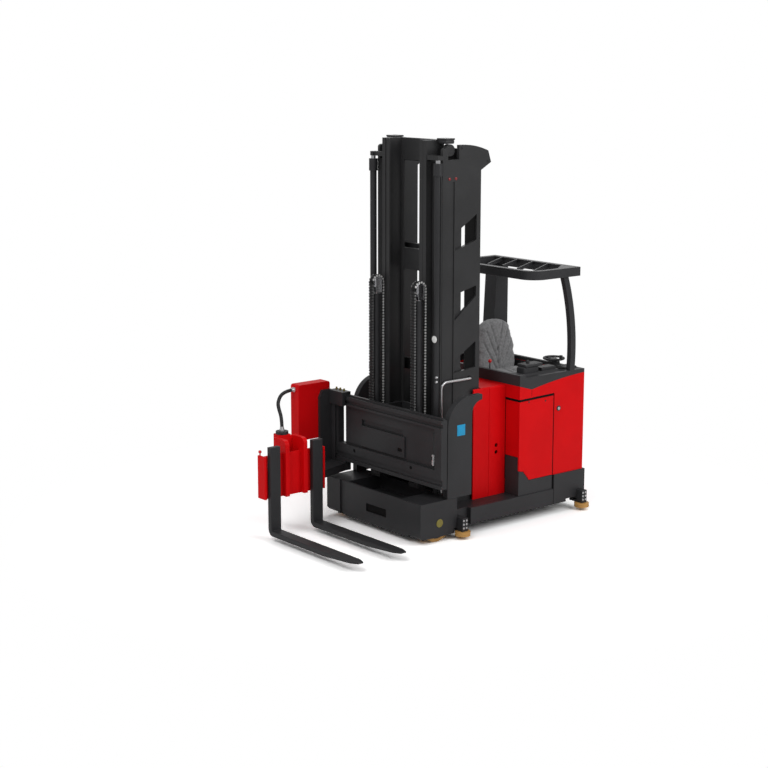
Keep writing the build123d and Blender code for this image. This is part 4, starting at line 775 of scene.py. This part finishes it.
# Openings of the outer mast's side plates: heights of the low and high edge at the front, then at the back
MAST_OPENINGS = (
    (2.449, 2.592, 2.523, 2.744),
    (1.847, 2.070, 2.040, 2.131),
    (1.394, 1.500, 1.419, 1.647),
)
MAST_OPENING_Y = (0.036, 0.280)
MAST_OPENING_DEPTH = 0.020
MAST_OPENING_MARGIN = 0.003
MAST_SLOT_END = 0.170
MAST_SLOT_CLEAR = 0.002
OPENING_FLOOR_HALF = 0.001  # half the sheet's thickness
MARKER_PLACES = ((-0.033, 3.055), (0.038, 3.055))
MARKER = ((0.013, -0.001), (0.013, 0.003), (0.009, 0.006), (0.003, 0.007))
PIN_HEAD_PLACES = ((0.105, 3.305), (0.405, 3.186))
PIN_HEAD = ((0.012, -0.001), (0.012, 0.004), (0.007, 0.004), (0.006, 0.001))
PIPE_HOLE = (0.209, 1.330)
GROMMET = ((0.021, -0.001), (0.021, 0.002), (0.013, 0.003))
SHEAVE_HOOD_X = (0.284, 0.392)
SHEAVE_HOOD_Y = (-0.042, 0.056)
SHEAVE_HOOD_DROP = 0.012
SHEAVE_HOOD_HEIGHT = 0.034
SHEAVE_HOOD_EDGE = 0.010
BARREL_X = 0.428
DISC_HEIGHT = 1.712
DISC_REACH = 0.028
DISC = ((0.030, 0.0), (0.030, 0.003), (0.028, 0.004))
GLAND_HEIGHTS = (1.345, 1.385)
GLAND_SHIFT = 0.022
GLAND = ((0.011, -0.006), (0.011, 0.008), (0.008, 0.010))
CYLINDER_LINE = (  # beside and behind the barrel's axis, and heights
    (0.036, 0.010, 0.420),
    (0.036, 0.010, 2.960),
    (0.036, 0.010, 3.060),
    (0.030, 0.004, 3.110),
)
CYLINDER_LINE_RADIUS = 0.006


def opening_floor(row, places):
    """Corners of the part of a slanting opening's floor that lies between two places along the plate."""
    front_y, back_y = MAST_OPENING_Y
    corners = []
    for place in places:
        share = (place - front_y) / (back_y - front_y)
        low = row[0] + share * (row[2] - row[0]) + MAST_OPENING_MARGIN
        high = row[1] + share * (row[3] - row[1]) - MAST_OPENING_MARGIN
        corners.append(((place, low), (place, high)))
    return [corners[0][0], corners[1][0], corners[1][1], corners[0][1]]


def mast_fittings():
    """Marker lamps, pin heads, dark sheets of painted shade in the side plates' openings, the blank disc sign
    and the small pipe of the mast.
    """
    plate_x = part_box("mast_outer")[1][0]

    def markers(bm):
        add_lathe_pairs(bm, plate_x, MARKER_PLACES, MARKER)

    piece("mast_markers", "chassis", "dark_red", markers)

    def pin_heads(bm):
        add_lathe_pairs(bm, plate_x, PIN_HEAD_PLACES, PIN_HEAD)

    piece("mast_pin_heads", "chassis", "black_plastic", pin_heads)

    # Near-black sheets deep in the openings: painted shade.
    def floors(bm):
        places = (MAST_SLOT_END + MAST_SLOT_CLEAR, MAST_OPENING_Y[1] - MAST_OPENING_MARGIN)
        for side in SIDES:
            deep = side * (plate_x - MAST_OPENING_DEPTH)
            near = deep - side * OPENING_FLOOR_HALF
            far = deep + side * OPENING_FLOOR_HALF
            for row in MAST_OPENINGS:
                add_prism(bm, opening_floor(row, places), near, far)

    piece("mast_opening_painted_shade", "chassis", "black_and_painted_shade", floors)

    def grommet(bm):
        add_lathe(bm, (plate_x, *PIPE_HOLE), RIGHT, GROMMET)

    piece("pipe_grommet", "chassis", "black_and_painted_shade", grommet)

    def sheave_hoods(bm):
        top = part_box("mast_middle")[1][2] - SHEAVE_HOOD_DROP
        foot = top - SHEAVE_HOOD_HEIGHT
        near, far = SHEAVE_HOOD_X
        front_y, back_y = SHEAVE_HOOD_Y
        for low_x, high_x in ((-far, -near), (near, far)):
            add_box(bm, (low_x, front_y, foot), (high_x, back_y, top), SHEAVE_HOOD_EDGE)

    piece("sheave_hoods", "middle_mast", "black_plastic", sheave_hoods)
    barrel_low, barrel_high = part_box("main_barrels")
    barrel_y = (barrel_low[1] + barrel_high[1]) / 2.0

    def disc(bm):
        add_lathe(bm, (BARREL_X, barrel_y - DISC_REACH, DISC_HEIGHT), FRONT, DISC, sides=32)

    piece("blank_disc", "chassis", "white_plate", disc)

    def glands(bm):
        for side in SIDES:
            for z in GLAND_HEIGHTS:
                place = (side * (BARREL_X + GLAND_SHIFT), barrel_y - GLAND_SHIFT, z)
                add_lathe(bm, place, FRONT, GLAND, sides=6)

    piece("cylinder_glands", "chassis", "steel", glands)
    route = [(BARREL_X + x, barrel_y + y, z) for x, y, z in CYLINDER_LINE]
    line = spline_points("cylinder_line_line", route)
    piece("cylinder_line", "chassis", "mast_paint", lambda bm: add_tube(bm, line, CYLINDER_LINE_RADIUS))


# Traverse frame and slider

FRAME_WEB = 0.030
ANCHOR_X = 0.628
ANCHOR_DEPTH = 0.014
ANCHOR_FOOT = 0.680
ANCHOR_ROD = ((0.008, 0.0), (0.008, 0.095))
ANCHOR_NUT_HEIGHTS = (0.690, 0.710, 0.758)
ANCHOR_NUT = ((0.014, 0.0), (0.014, 0.014), (0.012, 0.016))
VALVE_X = (-0.720, -0.665, -0.610)
VALVE_Y = -0.352
VALVE_SINK = 0.001
VALVE = ((0.011, -0.004), (0.011, 0.008), (0.008, 0.010), (0.008, 0.018), (0.006, 0.020))
FRONT_PLATE_X = (-0.766, -0.690)
FRONT_PLATE_Z = (0.470, 1.004)
FRONT_PLATE_REACH = (0.019, 0.006)  # of its front and back, before the frame
FRONT_PLATE_EDGE = 0.003
FRAME_HOLE_X = (-0.430, 0.350)
FRAME_HOLE_Z = 0.609
FRAME_HOLE_DEPTH = 0.004
FRAME_HOLE = ((0.0155, -0.004), (0.0155, 0.0), (0.010, 0.001))
COVER_HOLE = (0.174, 0.728)
COVER_HOLE_HALF = (0.031, 0.015)
COVER_HOLE_REACH = (0.008, 0.004)  # of its dark floor of painted shade, front and back, before the web


def traverse_fittings():
    """The traverse chain's anchor, the valve block's fittings, the slider's front plate and painted shade in
    dark holes.
    """
    frame_low, frame_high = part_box("traverse_frame")
    front_y = frame_low[1]
    web_y = frame_high[1] - FRAME_WEB

    def anchor(bm):
        place = (ANCHOR_X, front_y + ANCHOR_DEPTH)
        add_lathe(bm, (*place, ANCHOR_FOOT), UP, ANCHOR_ROD, sides=14)
        for z in ANCHOR_NUT_HEIGHTS:
            add_lathe(bm, (*place, z), UP, ANCHOR_NUT, sides=6)

    piece("traverse_anchor", "carriage", "steel", anchor)
    slider_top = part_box("traverse_carriage")[1][2]

    def valve_fittings(bm):
        for x in VALVE_X:
            add_lathe(bm, (x, VALVE_Y, slider_top - VALVE_SINK), UP, VALVE, sides=6)

    piece("valve_fittings", "traverse", "olive_brass", valve_fittings)

    def front_plate(bm):
        low_x, high_x = FRONT_PLATE_X
        low_z, high_z = FRONT_PLATE_Z
        front, back = FRONT_PLATE_REACH
        add_box(bm, (low_x, front_y - front, low_z), (high_x, front_y - back, high_z), FRONT_PLATE_EDGE)

    piece("traverse_front_plate", "traverse", "black_paint", front_plate)

    # Near-black discs inside the frame's holes and a block behind the web's opening: painted shade.
    def dark_holes(bm):
        for x in FRAME_HOLE_X:
            add_lathe(bm, (x, front_y + FRAME_HOLE_DEPTH, FRAME_HOLE_Z), FRONT, FRAME_HOLE, sides=18)
        x, z = COVER_HOLE
        half_x, half_z = COVER_HOLE_HALF
        front, back = COVER_HOLE_REACH
        add_box(bm, (x - half_x, web_y - front, z - half_z), (x + half_x, web_y - back, z + half_z))

    piece("frame_hole_painted_shade", "carriage", "black_and_painted_shade", dark_holes)


# Turret

FORK_EAR_TOP = 0.740
STOP_INSET = 0.016
STOP_KNOB = ((0.006, -0.004), (0.006, 0.020), (0.013, 0.022), (0.015, 0.032), (0.011, 0.042))


def turret_fittings():
    """The red knob of the fork stop on the fork carriage's ear."""
    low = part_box("fork_carriage")[0]
    place = (low[0] + STOP_INSET, low[1] + STOP_INSET, FORK_EAR_TOP)

    def knob(bm):
        add_lathe(bm, place, UP, STOP_KNOB)

    piece("fork_stop_knob", "turret", "red_button", knob)


# Body

FENDER_PLATE_Y = (-0.118, -0.028)
FENDER_PLATE_Z = (0.900, 0.995)
FENDER_PLATE_SINK = 0.0005
FENDER_PLATE_PROUD = 0.0015
FENDER_PLATE_EDGE = 0.0006
BEAM_SLOT_X = (-0.088, 0.188)
BEAM_SLOT_Z = (0.154, 0.226)
BEAM_SLOT_DEPTH = (0.008, 0.012)  # of the dark floor's front and back; the floor is painted shade
TAIL_LID_INSET = 0.004  # below and inside the skirt, and up behind the rear wall
TAIL_LID_SHEET = 0.008
TAIL_LID_UPRIGHT = 0.006  # place and thickness of the part behind the rear wall


def body_fittings():
    """The blank plate on the fender, a dark floor of painted shade in the front beam's slot and the tail
    skirt's lid.
    """
    fender_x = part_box("fenders")[1][0]

    def plate(bm):
        front_y, back_y = FENDER_PLATE_Y
        low_z, high_z = FENDER_PLATE_Z
        low = (fender_x - FENDER_PLATE_SINK, front_y, low_z)
        add_box(bm, low, (fender_x + FENDER_PLATE_PROUD, back_y, high_z), FENDER_PLATE_EDGE)

    piece("fender_plate", "chassis", "cyan_plate", plate)
    beam_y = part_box("front_axle_beam")[0][1]

    # A near-black block set back in the beam's slot: painted shade.
    def slot_depth(bm):
        low_x, high_x = BEAM_SLOT_X
        low_z, high_z = BEAM_SLOT_Z
        front, back = BEAM_SLOT_DEPTH
        add_box(bm, (low_x, beam_y + front, low_z), (high_x, beam_y + back, high_z))

    piece("beam_slot_painted_shade", "chassis", "black_and_painted_shade", slot_depth)
    skirt_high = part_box("rear_skirt")[1]
    wall_low, wall_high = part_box("cab_rear_wall")

    def tail_lid(bm):
        lid_z = skirt_high[2] - TAIL_LID_INSET
        start = (wall_low[0], wall_low[1] + TAIL_LID_UPRIGHT, lid_z - TAIL_LID_SHEET)
        add_box(bm, start, (wall_high[0], skirt_high[1] - TAIL_LID_INSET, lid_z))
        add_box(bm, start, (wall_high[0], start[1] + TAIL_LID_UPRIGHT, wall_low[2] + TAIL_LID_INSET))

    piece("tail_lid", "chassis", "black_paint", tail_lid)


# Cab

BALL_LEVER_PLACE = (0.213, 0.655)
BALL_LEVER_SINK = 0.030  # of its foot below the cowl's highest edge
BALL_LEVER_RISE = 0.062
BALL_RADIUS = 0.017
BALL_TURN = 15.0  # between the rings of the ball
STALK = ((0.012, -0.004), (0.012, 0.006), (0.005, 0.010), (0.005, 0.066))
DISPLAY_X = (0.440, 0.585)
DISPLAY_Y = (1.160, 1.235)
DISPLAY_SINK = 0.002
DISPLAY_PROUD = 0.003
DISPLAY_EDGE = 0.0015
CONSOLE_PAD_OVERHANG = 0.006
CONSOLE_PAD_Y = (0.760, 0.970)
CONSOLE_PAD_RISE = (0.050, 0.078)  # of its underside and top above the dash
CONSOLE_PAD_EDGE = 0.009
LINING_SHEET = 0.004
LINING_START = 0.040  # behind the cab side's front edge
LINING_SIDE_DROP = 0.080  # below the tops of the cab's side and rear wall
LINING_REAR_DROP = 0.002


def cab_fittings():
    """The lever with a red ball at the cowl's front, the display, the console's pad and the cab's lining."""
    foot = (*BALL_LEVER_PLACE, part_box("cowl")[1][2] - BALL_LEVER_SINK)
    knob = (*BALL_LEVER_PLACE, foot[2] + BALL_LEVER_RISE)
    piece("ball_lever_stalk", "chassis", "black_plastic", lambda bm: add_lathe(bm, foot, UP, STALK, sides=14))

    def ball(bm):
        angles = [math.radians(BALL_TURN * step) for step in range(1, 12)]
        profile = [(BALL_RADIUS * math.sin(a), BALL_RADIUS * (1.0 - math.cos(a))) for a in angles]
        add_lathe(bm, knob, UP, profile)

    piece("ball_lever_knob", "chassis", "red_button", ball)
    console_low, console_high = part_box("lever_console")
    dash_z = console_low[2]

    def display(bm):
        low_x, high_x = DISPLAY_X
        front_y, back_y = DISPLAY_Y
        low = (low_x, front_y, dash_z - DISPLAY_SINK)
        add_box(bm, low, (high_x, back_y, dash_z + DISPLAY_PROUD), DISPLAY_EDGE)

    piece("dash_display", "chassis", "black_and_painted_shade", display)

    def pad(bm):
        front_y, back_y = CONSOLE_PAD_Y
        under, top = CONSOLE_PAD_RISE
        low = (console_low[0] - CONSOLE_PAD_OVERHANG, front_y, dash_z + under)
        high = (console_high[0] + CONSOLE_PAD_OVERHANG, back_y, dash_z + top)
        add_box(bm, low, high, CONSOLE_PAD_EDGE)

    piece("console_pad", "chassis", "black_plastic", pad)

    def lining(bm):
        left_low, left_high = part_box("cab_side_left")
        rear_low, rear_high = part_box("cab_rear_wall")
        floor_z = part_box("cab_floor")[1][2]
        inner_x = left_high[0]
        rear_y = rear_low[1]
        side_end = (inner_x + LINING_SHEET, rear_y, left_high[2] - LINING_SIDE_DROP)
        add_box(bm, (inner_x, left_low[1] + LINING_START, floor_z), side_end)
        rear_end = (rear_high[0], rear_y, rear_high[2] - LINING_REAR_DROP)
        add_box(bm, (rear_low[0], rear_y - LINING_SHEET, floor_z), rear_end)

    piece("cab_lining", "chassis", "black_plastic", lining)


# Stage

# Camera, set to the photograph's angle
CAMERA_PLACE = (10.910, -9.287, 4.150)
CAMERA_PITCH = 78.5
CAMERA_TURN = 50.8
CAMERA_LENS = 78.0
CAMERA_SENSOR = 36.0

WHITE = (1.0, 1.0, 1.0, 1.0)
WORLD_LIGHT = 0.42
LAMPS = (
    # name, place, watts
    ("key", (2.0, -6.5, 8.0), 300.0),
    ("side", (7.5, 2.5, 6.0), 330.0),
    ("back", (-5.0, 5.0, 6.5), 150.0),
)
LAMP_SIZE = 5.0
LAMP_AIM = (0.0, 0.0, 1.2)
FLOOR_SIZE = 40.0
FLOOR_PALE = (0.80, 0.80, 0.80, 1.0)
FLOOR_GAIN = 1.5  # of the floor's own white, for the camera alone
FLOOR_FADE = (1.6, 3.6)  # distances between which the shadow fades out


def photo_camera():
    """The camera at the photograph's angle."""
    camera = bpy.data.cameras.new("camera")
    holder = bpy.data.objects.new("camera", camera)
    scene.collection.objects.link(holder)
    camera.lens = CAMERA_LENS
    camera.sensor_width = CAMERA_SENSOR
    holder.location = CAMERA_PLACE
    holder.rotation_euler = (math.radians(CAMERA_PITCH), 0.0, math.radians(CAMERA_TURN))
    scene.camera = holder


def white_surround():
    """A world that is white to the camera and gives a soft light."""
    world = bpy.data.worlds.new("world")
    scene.world = world
    world.use_nodes = True
    tree = world.node_tree
    light = tree.nodes["Background"]
    light.inputs["Color"].default_value = WHITE
    light.inputs["Strength"].default_value = WORLD_LIGHT
    white = tree.nodes.new("ShaderNodeBackground")
    white.inputs["Color"].default_value = WHITE
    white.inputs["Strength"].default_value = 1.0
    path = tree.nodes.new("ShaderNodeLightPath")
    seen = tree.nodes.new("ShaderNodeMath")
    seen.operation = "MAXIMUM"
    tree.links.new(path.outputs["Is Camera Ray"], seen.inputs[0])
    tree.links.new(path.outputs["Is Transmission Ray"], seen.inputs[1])
    mix = tree.nodes.new("ShaderNodeMixShader")
    tree.links.new(seen.outputs["Value"], mix.inputs["Fac"])
    tree.links.new(light.outputs["Background"], mix.inputs[1])
    tree.links.new(white.outputs["Background"], mix.inputs[2])
    tree.links.new(mix.outputs["Shader"], tree.nodes["World Output"].inputs["Surface"])


def pale_floor():
    """The floor that keeps the truck's shadow."""
    bm = bmesh.new()
    bmesh.ops.create_grid(bm, x_segments=2, y_segments=2, size=FLOOR_SIZE)
    mesh = bpy.data.meshes.new("floor")
    bm.to_mesh(mesh)
    bm.free()
    floor = bpy.data.objects.new("floor", mesh)
    scene.collection.objects.link(floor)
    mesh.materials.append(floor_finish())


def floor_finish():
    """White to the camera, with the soft shadow kept near the truck, and plain pale for other rays."""
    material = bpy.data.materials.new("floor")
    material.use_nodes = True
    tree = material.node_tree
    pale = tree.nodes["Principled BSDF"]
    pale.inputs["Base Color"].default_value = FLOOR_PALE
    pale.inputs["Roughness"].default_value = 0.9
    pale.inputs["Specular IOR Level"].default_value = 0.0
    bright = tree.nodes.new("ShaderNodeBsdfDiffuse")
    bright.inputs["Color"].default_value = (FLOOR_GAIN, FLOOR_GAIN, FLOOR_GAIN, 1.0)
    glow = tree.nodes.new("ShaderNodeEmission")
    glow.inputs["Strength"].default_value = 1.0
    place = tree.nodes.new("ShaderNodeNewGeometry")
    distance = tree.nodes.new("ShaderNodeVectorMath")
    distance.operation = "LENGTH"
    tree.links.new(place.outputs["Position"], distance.inputs[0])
    fade = tree.nodes.new("ShaderNodeMapRange")
    fade.inputs["From Min"].default_value = FLOOR_FADE[0]
    fade.inputs["From Max"].default_value = FLOOR_FADE[1]
    tree.links.new(distance.outputs["Value"], fade.inputs["Value"])
    shown = tree.nodes.new("ShaderNodeMixShader")
    tree.links.new(fade.outputs["Result"], shown.inputs["Fac"])
    tree.links.new(bright.outputs["BSDF"], shown.inputs[1])
    tree.links.new(glow.outputs["Emission"], shown.inputs[2])
    path = tree.nodes.new("ShaderNodeLightPath")
    mix = tree.nodes.new("ShaderNodeMixShader")
    tree.links.new(path.outputs["Is Camera Ray"], mix.inputs["Fac"])
    tree.links.new(pale.outputs["BSDF"], mix.inputs[1])
    tree.links.new(shown.outputs["Shader"], mix.inputs[2])
    tree.links.new(mix.outputs["Shader"], tree.nodes["Material Output"].inputs["Surface"])
    return material


def soft_lamps():
    """Large square lamps aimed at the truck."""
    for name, place, watts in LAMPS:
        data = bpy.data.lights.new(name, "AREA")
        data.size = LAMP_SIZE
        data.energy = watts
        lamp = bpy.data.objects.new(name, data)
        scene.collection.objects.link(lamp)
        lamp.location = place
        aim = Vector(LAMP_AIM) - Vector(place)
        lamp.rotation_euler = aim.to_track_quat("-Z", "Y").to_euler()


photo_camera()
white_surround()
pale_floor()
soft_lamps()
dress_nodes()
fork_head_hose()
lift_chains()
seat()
roller_fittings()
service_cover_fittings()
mast_fittings()
traverse_fittings()
turret_fittings()
body_fittings()
cab_fittings()
